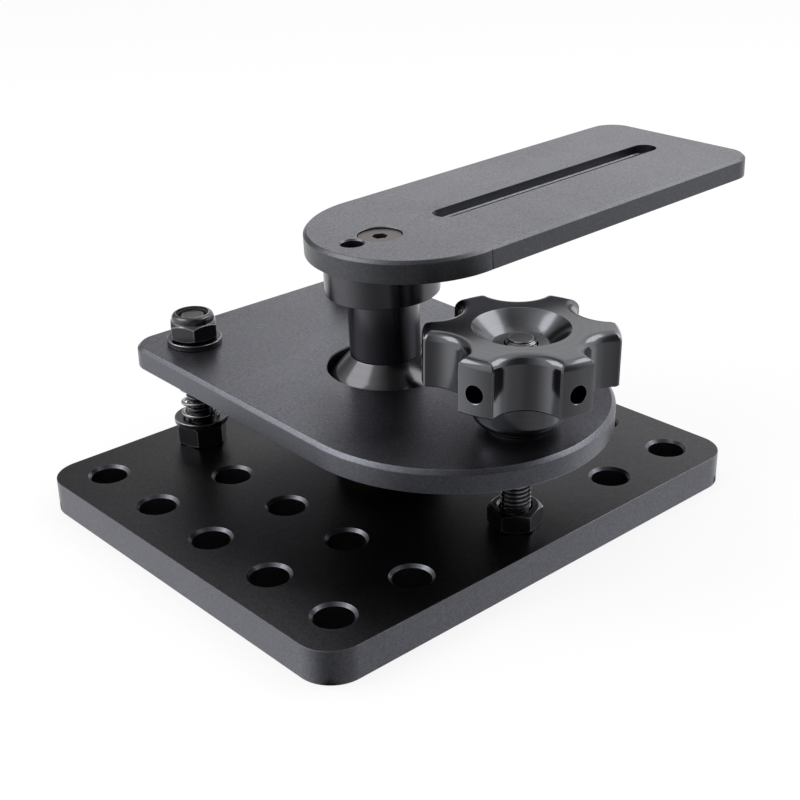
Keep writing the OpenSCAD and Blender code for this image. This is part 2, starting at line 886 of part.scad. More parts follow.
base_plate();
front_stud();
front_base_nut();
rear_stud(-1);  // rear_stud_left
rear_stud(1);  // rear_stud_right
rear_base_nut(-1);  // rear_base_nut_left
rear_base_nut(1);  // rear_base_nut_right
rear_spring_washer(-1);  // rear_spring_washer_left
rear_spring_washer(1);  // rear_spring_washer_right
rear_spring(-1);  // rear_spring_left
rear_spring(1);  // rear_spring_right
ball_seat_ring();
ball();
post();
ball_screw();
bar_screw();
camera_bar();
clamp_plate();
rear_top_washer(-1);  // rear_top_washer_left
rear_top_washer(1);  // rear_top_washer_right
rear_lock_nut(-1);  // rear_lock_nut_left
rear_lock_nut(1);  // rear_lock_nut_right
rear_lock_nut_insert(-1);  // rear_lock_nut_left_insert
rear_lock_nut_insert(1);  // rear_lock_nut_right_insert
knob_thrust_washer();
clamp_knob();
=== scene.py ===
import math

import bmesh
import bpy
from mathutils import Matrix, Quaternion, Vector


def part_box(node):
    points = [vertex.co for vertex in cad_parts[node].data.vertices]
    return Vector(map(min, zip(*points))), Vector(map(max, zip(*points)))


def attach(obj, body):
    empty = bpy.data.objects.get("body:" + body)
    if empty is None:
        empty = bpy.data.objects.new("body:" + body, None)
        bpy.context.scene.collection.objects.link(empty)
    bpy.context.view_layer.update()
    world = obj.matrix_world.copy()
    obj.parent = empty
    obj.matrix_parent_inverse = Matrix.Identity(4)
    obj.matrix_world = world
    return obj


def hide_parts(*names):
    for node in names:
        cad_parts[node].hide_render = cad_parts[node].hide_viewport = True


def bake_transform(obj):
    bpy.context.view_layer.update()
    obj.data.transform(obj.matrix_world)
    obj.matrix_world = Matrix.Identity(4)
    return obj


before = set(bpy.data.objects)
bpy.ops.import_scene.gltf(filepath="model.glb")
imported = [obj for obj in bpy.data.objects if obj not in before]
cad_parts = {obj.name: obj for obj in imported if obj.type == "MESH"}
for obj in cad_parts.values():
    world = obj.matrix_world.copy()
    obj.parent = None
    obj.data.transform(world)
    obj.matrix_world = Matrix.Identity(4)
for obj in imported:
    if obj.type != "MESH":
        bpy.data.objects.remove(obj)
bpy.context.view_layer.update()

# Units
MM = 0.001
FULL_TURN = 2 * math.pi

# Clearances
FACE_GAP = 0.12 * MM
THREAD_GAP = 0.05 * MM
FRONT_HOLE_GAP = 0.25 * MM
BAR_SCREW_GAP = 0.3 * MM
WASHER_GAP = 0.3 * MM
INSERT_GAP = 0.03 * MM

# Sizes of the base plate
PITCH = 25.4 * MM
COLUMNS = 6
ROWS = 5
BASE_MARGIN = 13.5 * MM
BASE_T = 9.525 * MM
BASE_CORNER_R = 9.75 * MM
BASE_HOLE_R = 5.15 * MM
BASE_HOLE_BEVEL = 0.8 * MM
BASE_W = (COLUMNS - 1) * PITCH + 2 * BASE_MARGIN
BASE_L = (ROWS - 1) * PITCH + 2 * BASE_MARGIN

# Sizes of the ball, its seat and the post. The neck is a cone from the ball to the post
BALL_R = 20 * MM
BALL_RISE = 16.6 * MM
BALL_Z = BASE_T + BALL_RISE
BALL_GAP = 0.2 * MM
BALL_POCKET_R = 6.9 * MM
BALL_POCKET_TOP = -9 * MM
BALL_BORE_R = 4.4 * MM
BALL_SCREW_R = 4 * MM
BALL_SCREW_TAP_DEPTH = 13.5 * MM
NECK_DEGREES = 45
NECK_FOOT = BALL_R * math.sin(math.radians(NECK_DEGREES))
POST_R = 10 * MM
POST_LENGTH = 18.8 * MM
# At 45 degrees the cone rises by as much as it narrows
NECK_TOP = 2 * NECK_FOOT - POST_R
FLANGE_R = 16 * MM
FLANGE_T = 9.25 * MM
FLANGE_Z = NECK_TOP + POST_LENGTH
FLANGE_TOP = FLANGE_Z + FLANGE_T
POST_EDGE = 0.3 * MM
HEAD_LEAN = math.radians(1.6)
SEAT_R = 16 * MM
SEAT_POCKET_R = 16.15 * MM
SEAT_POCKET_DEPTH = 4 * MM
SEAT_BORE_R = 8 * MM
SEAT_RISE = 2.2 * MM
SEAT_Z = BASE_T - SEAT_POCKET_DEPTH
SEAT_RIM_Z = BASE_T + SEAT_RISE

# Sizes of the clamp plate
CLAMP_W = 90.6 * MM
CLAMP_T = 6.35 * MM
CLAMP_FRONT = 24.4 * MM
CLAMP_CORNER_R = 8 * MM
CLAMP_BEVEL = 1.1 * MM
CLAMP_OVER_BALL = 14 * MM
CLAMP_Z = BALL_Z + CLAMP_OVER_BALL
CLAMP_LEAN = math.radians(1.35)
NECK_OPENING_R = 17.1 * MM
NECK_OPENING_BEVEL = 0.3 * MM
PLATE_HOLE_R = 4.6 * MM

# Sizes of the camera bar and its screw
BAR_W = 59.9 * MM
BAR_T = 6.35 * MM
BAR_ROUND_R = 30 * MM
BAR_ROUND_X = 11.5 * MM
BAR_REACH = 127.8 * MM
BAR_CORNER_R = 8.8 * MM
BAR_BEVEL = 0.9 * MM
BAR_YAW = math.radians(0.9)
BAR_Z = FLANGE_TOP + FACE_GAP
SLOT_START = 20.6 * MM
SLOT_END = 113.8 * MM
SLOT_W = 6.6 * MM
GROOVE_W = 7.8 * MM
GROOVE_DEPTH = 2.6 * MM
LEDGE_BEVEL = 0.3 * MM
PIN_HOLE_R = 3.175 * MM
PIN_HOLE_X = 9.75 * MM
PIN_HOLE_BEVEL = 0.4 * MM
TOOL_MARK_R = 0.24 * MM
COUNTERSINK_R = 6.2 * MM
COUNTERSINK_WALL = 0.7 * MM
BAR_SCREW_R = 3 * MM
BAR_SCREW_HEAD_R = 6.0 * MM
BAR_SCREW_INSET = 0.5 * MM
BAR_SCREW_TOP = BAR_T - BAR_SCREW_INSET
BAR_SCREW_LIP = 0.3 * MM
BAR_SCREW_FOOT = -11 * MM
BAR_SCREW_TAP_DEPTH = 12.5 * MM
KEY_AF = 4 * MM
KEY_DEPTH = 2.4 * MM

# Sizes of the studs, nuts, washers and springs. Turns are in degrees
STUD_R = 4 * MM
STUD_ROW = 50.8 * MM
STUD_SIDE = 30.5 * MM
STUD_END_BEVEL = 0.8 * MM
FRONT_STUD_FOOT = 1 * MM
FRONT_STUD_REACH = 24.27 * MM
THREAD_PITCH = 1.25 * MM
THREAD_ROOT_R = 3.35 * MM
TURNING_R = 4.4 * MM
NUT_AF = 13 * MM
NUT_FACE_R = 0.96 * NUT_AF / 2
NUT_CHAMFER = math.radians(30)
NUT_MOUTH_BEVEL = 0.5 * MM
REAR_NUT_H = 6.5 * MM
REAR_NUT_TURN = 45
FRONT_NUT_H = 5.5 * MM
FRONT_NUT_TURN = 16
LOCK_NUT_H = 7.3 * MM
LOCK_NUT_TURN = 57
LOCK_HEX_H = 4.9 * MM
COLLAR_R = 6.15 * MM
COLLAR_ROUND = 1.4 * MM
COLLAR_FOOT = 0.5 * MM
COLLAR_MOUTH_R = COLLAR_R - COLLAR_ROUND
INSERT_GROOVE_R = COLLAR_MOUTH_R + 0.6 * MM
INSERT_GROOVE_FOOT = LOCK_HEX_H + 0.5 * MM
INSERT_GROOVE_ROOF = LOCK_NUT_H - 0.6 * MM
WASHER_R = 8 * MM
WASHER_T = 1.6 * MM
WASHER_ROUND = 0.25 * MM
TOP_WASHER_BORE_R = 4.52 * MM
THRUST_WASHER_R = 8.5 * MM
THRUST_WASHER_T = 1.2 * MM
THRUST_WASHER_Z = 0.05 * MM
SPRING_R = 5.15 * MM
SPRING_COILS = 5
SPRING_CLOSED = 0.9
SPRING_START = math.radians(294)
WIRE_R = 0.55 * MM

# One turn of the thread, as (radius, share of the pitch)
THREAD_OUTLINE = (
    (THREAD_ROOT_R, 0),
    (THREAD_ROOT_R, 0.25),
    (STUD_R, 0.5625),
    (STUD_R, 0.6875),
    (THREAD_ROOT_R, 1),
)

# Sizes of the knob
KNOB_R = 25 * MM
KNOB_Z = 1.37 * MM
KNOB_LOBES = 6
KNOB_LOBE_ANGLE = math.radians(17)
KNOB_HEAD_H = 14.6 * MM
KNOB_HUB_H = 11.3 * MM
KNOB_HUB_R = 12.3 * MM
KNOB_HUB_EASE = 0.2 * MM
KNOB_FOOT_ROUND = 3 * MM
KNOB_UNDER_BEVEL = 0.5 * MM
KNOB_SCALLOP_R = 8.9 * MM
KNOB_SCALLOP_C = 27.6 * MM
KNOB_CORNER = 0.35 * MM
KNOB_ROUND = 2.6 * MM
KNOB_TOP = KNOB_HUB_H + KNOB_HEAD_H
DISH_R = 12.6 * MM
DISH_FLOOR_R = 7.4 * MM
DISH_DEPTH = 4.5 * MM
TOMMY_R = 2.4 * MM
TOMMY_DEPTH = 10 * MM
TOMMY_Z = KNOB_HUB_H + 5.9 * MM

# The dish's eased corners at its floor and at its rim, as (radius, depth under the knob's top)
DISH_FOOT = (
    (DISH_FLOOR_R - 0.2 * MM, DISH_DEPTH),
    (DISH_FLOOR_R + 0.1 * MM, DISH_DEPTH - 0.15 * MM),
)
DISH_RIM = (
    (DISH_R - 0.15 * MM, 0.16 * MM),
    (DISH_R, 0.05 * MM),
    (DISH_R + 0.18 * MM, 0),
)

# Frames of the pieces that lean
CLAMP_FRAME = Matrix.Translation((0, 0, CLAMP_Z)) @ Matrix.Rotation(CLAMP_LEAN, 4, "X")
FRONT_STUD_Y = -STUD_ROW / math.cos(CLAMP_LEAN)
FRONT_STUD_FRAME = CLAMP_FRAME @ Matrix.Translation((0, FRONT_STUD_Y, 0))
SLOPE = math.tan(CLAMP_LEAN)
FRONT_STUD_BASE_Y = (CLAMP_Z - BASE_T) * SLOPE - STUD_ROW * (1 + SLOPE ** 2)
REAR_STUD_PLATE_Y = (STUD_ROW - CLAMP_T / 2 * math.sin(CLAMP_LEAN)) / math.cos(CLAMP_LEAN)
HEAD_FRAME = Matrix.Translation((0, 0, BALL_Z)) @ Matrix.Rotation(-HEAD_LEAN, 4, "Y")
BAR_FRAME = HEAD_FRAME @ Matrix.Translation((0, 0, BAR_Z)) @ Matrix.Rotation(-BAR_YAW, 4, "Z")
SIDES = {"left": -1, "right": 1}

# Small sizes: how far a cutter reaches past a face, broken edges, and points that count as one
PAST = 1 * MM
EDGE_BREAK = 0.15 * MM
FINE_EDGE = 0.1 * MM
MERGE = 0.0005 * MM

# Fineness of the meshes, as steps round an arc, a turn or a coil
CORNER_STEPS = 20
ROUND_END_STEPS = 120
THREAD_STEPS = 40
SPRING_STEPS = 40
WIRE_STEPS = 24
KNOB_ROUND_STEPS = 8


def rear_stud_frame(side, z=0.0):
    """The place of a rear stud's axis at a height."""
    return Matrix.Translation((SIDES[side] * STUD_SIDE, STUD_ROW, z))


# Modelling steps
def pick(piece):
    """Makes the piece the only selected object, and the active one."""
    bpy.ops.object.select_all(action="DESELECT")
    piece.select_set(True)
    bpy.context.view_layer.objects.active = piece


def edit(piece):
    """Goes into edit mode on the piece, with edges to select."""
    pick(piece)
    bpy.ops.object.mode_set(mode="EDIT")
    bpy.ops.mesh.select_mode(type="EDGE")


def leave():
    """Goes back to object mode."""
    bpy.ops.object.mode_set(mode="OBJECT")


def loop_of(name, points):
    """A closed loop of edges: a circle whose vertices are moved to the points."""
    bpy.ops.object.select_all(action="DESELECT")
    bpy.ops.mesh.primitive_circle_add(vertices=len(points), radius=PAST)
    piece = bpy.context.object
    piece.name = name
    for vertex, point in zip(piece.data.vertices, points):
        vertex.co = point
    return piece


def tidy_mesh():
    """Merges doubles, drops loose edges and turns the faces outwards, in edit mode."""
    bpy.ops.mesh.select_all(action="SELECT")
    bpy.ops.mesh.remove_doubles(threshold=MERGE)
    bpy.ops.mesh.delete_loose(use_verts=True, use_edges=True, use_faces=False)
    bpy.ops.mesh.select_all(action="SELECT")
    bpy.ops.mesh.normals_make_consistent(inside=False)


def arc(centre, radius, start, end, steps):
    """Points round an arc, from one direction to the other, in degrees."""
    angles = [math.radians(start + (end - start) * k / steps) for k in range(steps + 1)]
    return [(centre[0] + radius * math.cos(a), centre[1] + radius * math.sin(a)) for a in angles]


def eased(section, radius=EDGE_BREAK, steps=3):
    """The closed half section, rounded at its corners off the axis where its edges leave room."""
    nearly_flat = math.radians(80)
    longest_share = 0.45
    rounded = []
    for before, corner, after in zip(section[-1:] + section[:-1], section, section[1:] + section[:1]):
        corner = Vector(corner)
        back = Vector(before) - corner
        ahead = Vector(after) - corner
        half = back.angle(ahead) / 2
        reach = radius / math.tan(half)
        too_near = reach > longest_share * min(back.length, ahead.length)
        if corner.x < MERGE or half > nearly_flat or too_near:
            rounded.append(tuple(corner))
            continue
        back.normalize()
        ahead.normalize()
        centre = corner + (back + ahead).normalized() * radius / math.sin(half)
        first = corner + back * reach - centre
        last = corner + ahead * reach - centre
        for k in range(steps + 1):
            rounded.append(tuple(centre + first.lerp(last, k / steps).normalized() * radius))
    return rounded


def turned(name, section, steps=96):
    """A solid of revolution about Z, spun from the (radius, height) points of its half section."""
    piece = loop_of(name, [(r, 0, z) for r, z in section])
    edit(piece)
    bpy.ops.mesh.select_all(action="SELECT")
    bpy.ops.mesh.spin(steps=steps, angle=FULL_TURN, center=(0, 0, 0), axis=(0, 0, 1))
    tidy_mesh()
    leave()
    return piece


def select_edges(piece, wanted):
    """Selects the edges of which both ends pass the test."""
    bpy.ops.mesh.select_all(action="DESELECT")
    mesh = bmesh.from_edit_mesh(piece.data)
    for edge in mesh.edges:
        edge.select_set(all(wanted(vertex.co) for vertex in edge.verts))
    bmesh.update_edit_mesh(piece.data)


def extruded(name, points, height, bevel):
    """A plate from its outline, with its upper edge bevelled and its edges broken."""
    piece = loop_of(name, [(x, y, 0) for x, y in points])
    edit(piece)
    bpy.ops.mesh.select_all(action="SELECT")
    bpy.ops.mesh.edge_face_add()
    bpy.ops.mesh.extrude_region_move(TRANSFORM_OT_translate={"value": (0, 0, height)})
    tidy_mesh()
    if bevel:
        select_edges(piece, lambda co: co.z > height - MERGE)
        bpy.ops.mesh.bevel(offset=bevel, segments=1, affect="EDGES")
    bpy.ops.mesh.select_all(action="DESELECT")
    bpy.ops.mesh.edges_select_sharp(sharpness=math.radians(30))
    bpy.ops.mesh.bevel(offset=EDGE_BREAK, segments=2, affect="EDGES")
    leave()
    return piece


def tongue(name, length, width, round_r, corner_r, height, bevel):
    """A plate along X with a round near end about the origin and rounded far corners."""
    half = width / 2
    reach = math.degrees(math.asin(half / round_r))
    points = arc((0, 0), round_r, reach, 360 - reach, ROUND_END_STEPS)
    points += arc((length - corner_r, corner_r - half), corner_r, 270, 360, CORNER_STEPS)
    points += arc((length - corner_r, half - corner_r), corner_r, 0, 90, CORNER_STEPS)
    return extruded(name, points, height, bevel)


def wrapped(name, rings):
    """A skin through rings of equally many points: a grid whose rows are laid on the rings."""
    around = len(rings[0])
    bpy.ops.object.select_all(action="DESELECT")
    bpy.ops.mesh.primitive_grid_add(x_subdivisions=around, y_subdivisions=len(rings) - 1, size=PAST)
    piece = bpy.context.object
    piece.name = name
    for index, vertex in enumerate(piece.data.vertices):
        row, column = divmod(index, around + 1)
        vertex.co = rings[row][column % around]
    edit(piece)
    tidy_mesh()
    leave()
    return piece


def filled(name, rings):
    """A solid through rings of equally many points, with its two ends closed."""
    piece = wrapped(name, rings)
    edit(piece)
    bpy.ops.mesh.select_all(action="SELECT")
    bpy.ops.mesh.fill_holes(sides=0)
    tidy_mesh()
    leave()
    return piece


def joined(pieces):
    """Makes the pieces one object."""
    bpy.ops.object.select_all(action="DESELECT")
    for piece in pieces:
        piece.select_set(True)
    bpy.context.view_layer.objects.active = pieces[0]
    bpy.ops.object.join()
    return pieces[0]


def combine(piece, tool, operation="DIFFERENCE"):
    """Cuts the tool out of the piece, or joins or intersects the two, and removes the tool."""
    pick(piece)
    modifier = piece.modifiers.new("combine", "BOOLEAN")
    modifier.operation = operation
    modifier.solver = "EXACT"
    modifier.object = tool
    bpy.ops.object.modifier_apply(modifier=modifier.name)
    bpy.data.objects.remove(tool, do_unlink=True)
    return piece


def moved(piece, place):
    """Puts the piece at its place and applies that to its mesh."""
    pick(piece)
    piece.matrix_world = place
    bpy.ops.object.transform_apply(location=True, rotation=True, scale=True)
    return piece


def hole_tool(radius, height, bevel=EDGE_BREAK):
    """Cutter for a round hole up through a plate, with its lower edge broken and its upper one bevelled."""
    section = [
        (0, -PAST),
        (radius + EDGE_BREAK + PAST, -PAST),
        (radius, EDGE_BREAK),
        (radius, height - bevel),
        (radius + bevel + PAST, height + PAST),
        (0, height + PAST),
    ]
    return turned("hole_tool", section, steps=64)


def bore_tool(radius, foot, top, steps):
    """Cutter for a plain round bore between two heights."""
    return turned("bore_tool", [(0, foot), (radius, foot), (radius, top), (0, top)], steps)


def prism(across_flats, foot, top):
    """A six-sided prism between two heights."""
    bpy.ops.object.select_all(action="DESELECT")
    bpy.ops.mesh.primitive_cylinder_add(
        vertices=6,
        radius=across_flats / 2 / math.cos(math.radians(30)),
        depth=top - foot,
        location=(0, 0, (top + foot) / 2),
    )
    return bpy.context.object


def ball_tool(centre, segments, rings):
    """Cutter for a cupped seat that leaves the ball its gap."""
    bpy.ops.object.select_all(action="DESELECT")
    bpy.ops.mesh.primitive_uv_sphere_add(segments=segments, ring_count=rings, radius=BALL_R + BALL_GAP)
    return moved(bpy.context.object, Matrix.Translation(centre))


def smoothed(piece):
    """Smooth shading between faces that meet at a small angle, weighted to the large faces."""
    pick(piece)
    bpy.ops.object.shade_smooth_by_angle(angle=math.radians(20))
    modifier = piece.modifiers.new("weighted", "WEIGHTED_NORMAL")
    modifier.keep_sharp = True
    modifier.weight = 90
    bpy.ops.object.modifier_apply(modifier=modifier.name)
    return piece


def keep_own_place(piece):
    """Keeps each point's place in the piece's own frame, which the turned finishes read."""
    own = piece.data.attributes.new("own", "FLOAT_VECTOR", "POINT")
    for point, vertex in zip(own.data, piece.data.vertices):
        point.vector = vertex.co


def fitted(piece, place, material, node):
    """Finishes a piece that stands for a CAD node: its shading, place and finish."""
    smoothed(piece)
    keep_own_place(piece)
    moved(piece, place)
    piece.data.materials.clear()
    piece.data.materials.append(material)
    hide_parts(node)
    return piece


# Shader nodes and the finishes that the materials share
def add(tree, kind, settings=None, **inputs):
    """Adds a node, with its settings and the values of its sockets."""
    made = tree.nodes.new(kind)
    for name, value in (settings or {}).items():
        setattr(made, name, value)
    for name, value in inputs.items():
        made.inputs[name.replace("_", " ")].default_value = value
    return made


def math_node(tree, operation, first, second=None, clamp=False):
    """Adds a math node between two sockets or numbers, and gives back its output."""
    made = tree.nodes.new("ShaderNodeMath")
    made.operation = operation
    made.use_clamp = clamp
    for socket, value in zip(made.inputs, (first, second)):
        if isinstance(value, bpy.types.NodeSocket):
            tree.links.new(value, socket)
        elif value is not None:
            socket.default_value = value
    return made.outputs[0]


def new_group(name, inputs, outputs):
    """A node group with named sockets, as (name, kind, default), and its two end nodes."""
    tree = bpy.data.node_groups.new(name, "ShaderNodeTree")
    for label, kind, default in inputs:
        socket = tree.interface.new_socket(label, in_out="INPUT", socket_type=kind)
        if default is not None:
            socket.default_value = default
    for label, kind in outputs:
        tree.interface.new_socket(label, in_out="OUTPUT", socket_type=kind)
    return tree, tree.nodes.new("NodeGroupInput"), tree.nodes.new("NodeGroupOutput")


def blasted_grain():
    """Fine pitted grain of a bead-blasted and anodised face, over a coarser and weaker one."""
    coarse_scale = 0.3
    coarse_share = 0.25
    tree, given, out = new_group(
        "blasted_grain",
        [("Vector", "NodeSocketVector", None), ("Grain Size", "NodeSocketFloat", 0.4 * MM)],
        [("Height", "NodeSocketFloat"), ("Mask", "NodeSocketFloat")],
    )
    per_metre = math_node(tree, "DIVIDE", 1.0, given.outputs["Grain Size"])
    fine = add(tree, "ShaderNodeTexNoise", Detail=2.0, Roughness=0.6)
    tree.links.new(given.outputs["Vector"], fine.inputs["Vector"])
    tree.links.new(per_metre, fine.inputs["Scale"])
    coarse = add(tree, "ShaderNodeTexNoise", Detail=1.0)
    tree.links.new(given.outputs["Vector"], coarse.inputs["Vector"])
    tree.links.new(math_node(tree, "MULTIPLY", per_metre, coarse_scale), coarse.inputs["Scale"])
    weak = math_node(tree, "MULTIPLY", coarse.outputs["Fac"], coarse_share)
    both = math_node(tree, "ADD", fine.outputs["Fac"], weak)
    height = math_node(tree, "MULTIPLY", both, 1 / (1 + coarse_share))
    tree.links.new(height, out.inputs["Height"])
    speck = add(tree, "ShaderNodeMapRange", From_Min=0.35, From_Max=0.65)
    tree.links.new(height, speck.inputs["Value"])
    tree.links.new(speck.outputs["Result"], out.inputs["Mask"])
    return tree


def turned_lines():
    """Fine rings left by the lathe, about the Z axis of the piece's own frame."""
    tree, given, out = new_group(
        "turned_lines",
        [("Vector", "NodeSocketVector", None), ("Line Width", "NodeSocketFloat", 0.2 * MM)],
        [("Height", "NodeSocketFloat"), ("Mask", "NodeSocketFloat")],
    )
    split = add(tree, "ShaderNodeSeparateXYZ")
    tree.links.new(given.outputs["Vector"], split.inputs[0])
    x_squared = math_node(tree, "POWER", split.outputs["X"], 2.0)
    y_squared = math_node(tree, "POWER", split.outputs["Y"], 2.0)
    radius = math_node(tree, "SQRT", math_node(tree, "ADD", x_squared, y_squared))
    along = add(tree, "ShaderNodeCombineXYZ")
    tree.links.new(radius, along.inputs["X"])
    tree.links.new(split.outputs["Z"], along.inputs["Y"])
    lines = add(tree, "ShaderNodeTexNoise", Detail=3.0, Roughness=0.65)
    tree.links.new(along.outputs[0], lines.inputs["Vector"])
    tree.links.new(math_node(tree, "DIVIDE", 1.0, given.outputs["Line Width"]), lines.inputs["Scale"])
    tree.links.new(lines.outputs["Fac"], out.inputs["Height"])
    strong = add(tree, "ShaderNodeMapRange", From_Min=0.35, From_Max=0.65)
    tree.links.new(lines.outputs["Fac"], strong.inputs["Value"])
    tree.links.new(strong.outputs["Result"], out.inputs["Mask"])
    return tree


def worn_edge():
    """Mask of the edges that handling has rubbed bright, broken up by noise."""
    edge_strength = 9.0
    tree, given, out = new_group(
        "worn_edge",
        [
            ("Vector", "NodeSocketVector", None),
            ("Width", "NodeSocketFloat", 0.3 * MM),
            ("Breakup", "NodeSocketFloat", 0.5),
        ],
        [("Mask", "NodeSocketFloat")],
    )
    soft = add(tree, "ShaderNodeBevel", {"samples": 4})
    tree.links.new(given.outputs["Width"], soft.inputs["Radius"])
    surface = add(tree, "ShaderNodeNewGeometry")
    dot = add(tree, "ShaderNodeVectorMath", {"operation": "DOT_PRODUCT"})
    tree.links.new(soft.outputs["Normal"], dot.inputs[0])
    tree.links.new(surface.outputs["Normal"], dot.inputs[1])
    bent = math_node(tree, "SUBTRACT", 1.0, dot.outputs["Value"])
    edge = math_node(tree, "MULTIPLY", bent, edge_strength, clamp=True)
    patches = add(tree, "ShaderNodeTexNoise", Scale=420.0, Detail=4.0, Roughness=0.7)
    tree.links.new(given.outputs["Vector"], patches.inputs["Vector"])
    spread = add(tree, "ShaderNodeMapRange", From_Min=0.38, From_Max=0.62)
    tree.links.new(patches.outputs["Fac"], spread.inputs["Value"])
    kept = math_node(tree, "SUBTRACT", 1.0, given.outputs["Breakup"])
    breakup = math_node(tree, "MULTIPLY", spread.outputs["Result"], given.outputs["Breakup"])
    share = math_node(tree, "ADD", kept, breakup, clamp=True)
    tree.links.new(math_node(tree, "MULTIPLY", edge, share), out.inputs["Mask"])
    return tree


def handling():
    """Broad soft marks of handling, which change the gloss a little."""
    tree, given, out = new_group(
        "handling",
        [("Vector", "NodeSocketVector", None)],
        [("Smudge", "NodeSocketFloat")],
    )
    broad = add(tree, "ShaderNodeTexNoise", Scale=28.0, Detail=4.0, Roughness=0.55, Distortion=0.6)
    tree.links.new(given.outputs["Vector"], broad.inputs["Vector"])
    smudge = add(tree, "ShaderNodeMapRange", From_Min=0.35, From_Max=0.7)
    tree.links.new(broad.outputs["Fac"], smudge.inputs["Value"])
    tree.links.new(smudge.outputs["Result"], out.inputs["Smudge"])
    return tree


GROUPS = {
    "grain": blasted_grain(),
    "lines": turned_lines(),
    "edge": worn_edge(),
    "handling": handling(),
}


def effect(tree, name, vector, **inputs):
    """Places one of the groups, fed by the vector."""
    made = tree.nodes.new("ShaderNodeGroup")
    made.node_tree = GROUPS[name]
    for label, value in inputs.items():
        made.inputs[label.replace("_", " ")].default_value = value
    tree.links.new(vector, made.inputs["Vector"])
    return made


def mixed(tree, mask, first, second):
    """A colour that goes from the first to the second with the mask."""
    made = tree.nodes.new("ShaderNodeMix")
    made.data_type = "RGBA"
    tree.links.new(mask, made.inputs["Factor"])
    for socket, value in ((made.inputs["A"], first), (made.inputs["B"], second)):
        if isinstance(value, bpy.types.NodeSocket):
            tree.links.new(value, socket)
        else:
            socket.default_value = (*value, 1.0)
    return made.outputs["Result"]


def ranged(tree, value, low, high):
    """Turns a value from 0 to 1 into one from low to high."""
    made = add(tree, "ShaderNodeMapRange", To_Min=low, To_Max=high)
    tree.links.new(value, made.inputs["Value"])
    return made.outputs["Result"]


def new_material(name, metallic=1.0):
    """A material, its tree and shader, and the place in the scene and in the piece's own frame."""
    material = bpy.data.materials.new(name)
    material.use_nodes = True
    tree = material.node_tree
    shader = tree.nodes["Principled BSDF"]
    shader.inputs["Metallic"].default_value = metallic
    place = tree.nodes.new("ShaderNodeTexCoord").outputs["Object"]
    own = add(tree, "ShaderNodeAttribute", {"attribute_name": "own"}).outputs["Vector"]
    return material, tree, shader, place, own


def bumped(tree, shader, height, distance):
    """Gives the shader a fine relief of the given depth."""
    bump = add(tree, "ShaderNodeBump", Distance=distance)
    tree.links.new(height, bump.inputs["Height"])
    tree.links.new(bump.outputs["Normal"], shader.inputs["Normal"])


def scaled(colour, factor):
    """A colour made darker or lighter."""
    return tuple(factor * part for part in colour)


def glossed(tree, shader, marks, roughness, spread):
    """Lets the marks of handling move the roughness within a spread about its value."""
    smoother, rougher = spread
    gloss = ranged(tree, marks.outputs["Smudge"], roughness - smoother, roughness + rougher)
    tree.links.new(gloss, shader.inputs["Roughness"])


# Relief of each finish
GRAIN_DEPTH = 0.006 * MM
TURNED_DEPTH = 0.0003 * MM
STEEL_DEPTH = 0.002 * MM
NYLON_DEPTH = 0.004 * MM

# How dark and how light a finish gets, as shares of its colour
FACE_SHADES = (0.6, 1.5)
SIDE_SHADES = (0.75, 1.25)
TURNED_SHADES = (0.92, 1.1)
STEEL_SHADES = (0.75, 1.25)
NYLON_SHADES = (0.8, 1.3)

# How far handling moves the roughness, down and up
ANODISED_GLOSS = (0.03, 0.04)
TURNED_GLOSS = (0.03, 0.05)
STEEL_GLOSS = (0.05, 0.08)


def anodised(name, face, side, worn, roughness):
    """Black anodised aluminium: a blasted face, milled sides, and faintly rubbed edges. Face and sides get
    their colours by which way they point; on the base plate the much darker face colour is painted shade.
    """
    material, tree, shader, place, _ = new_material(name)
    pits = effect(tree, "grain", place, Grain_Size=0.3 * MM)
    marks = effect(tree, "handling", place)
    edge = effect(tree, "edge", place, Width=0.3 * MM, Breakup=0.6)
    level = add(tree, "ShaderNodeSeparateXYZ")
    tree.links.new(tree.nodes.new("ShaderNodeTexCoord").outputs["Normal"], level.inputs[0])
    flat = add(tree, "ShaderNodeMapRange", From_Min=0.8, From_Max=0.97)
    tree.links.new(math_node(tree, "ABSOLUTE", level.outputs["Z"]), flat.inputs["Value"])
    dark, light = (
        mixed(tree, flat.outputs["Result"], scaled(side, on_side), scaled(face, on_face))
        for on_side, on_face in zip(SIDE_SHADES, FACE_SHADES)
    )
    grained = mixed(tree, pits.outputs["Mask"], dark, light)
    tree.links.new(mixed(tree, edge.outputs["Mask"], grained, worn), shader.inputs["Base Color"])
    glossed(tree, shader, marks, roughness, ANODISED_GLOSS)
    bumped(tree, shader, pits.outputs["Height"], GRAIN_DEPTH)
    return material


def turned_black(name, colour, worn, roughness):
    """Black anodised aluminium as it comes off the lathe, with fine rings."""
    material, tree, shader, place, own = new_material(name)
    rings = effect(tree, "lines", own, Line_Width=0.25 * MM)
    marks = effect(tree, "handling", place)
    edge = effect(tree, "edge", place, Width=0.3 * MM, Breakup=0.5)
    dark, light = (scaled(colour, shade) for shade in TURNED_SHADES)
    face = mixed(tree, rings.outputs["Mask"], dark, light)
    tree.links.new(mixed(tree, edge.outputs["Mask"], face, worn), shader.inputs["Base Color"])
    glossed(tree, shader, marks, roughness, TURNED_GLOSS)
    bumped(tree, shader, rings.outputs["Height"], TURNED_DEPTH)
    return material


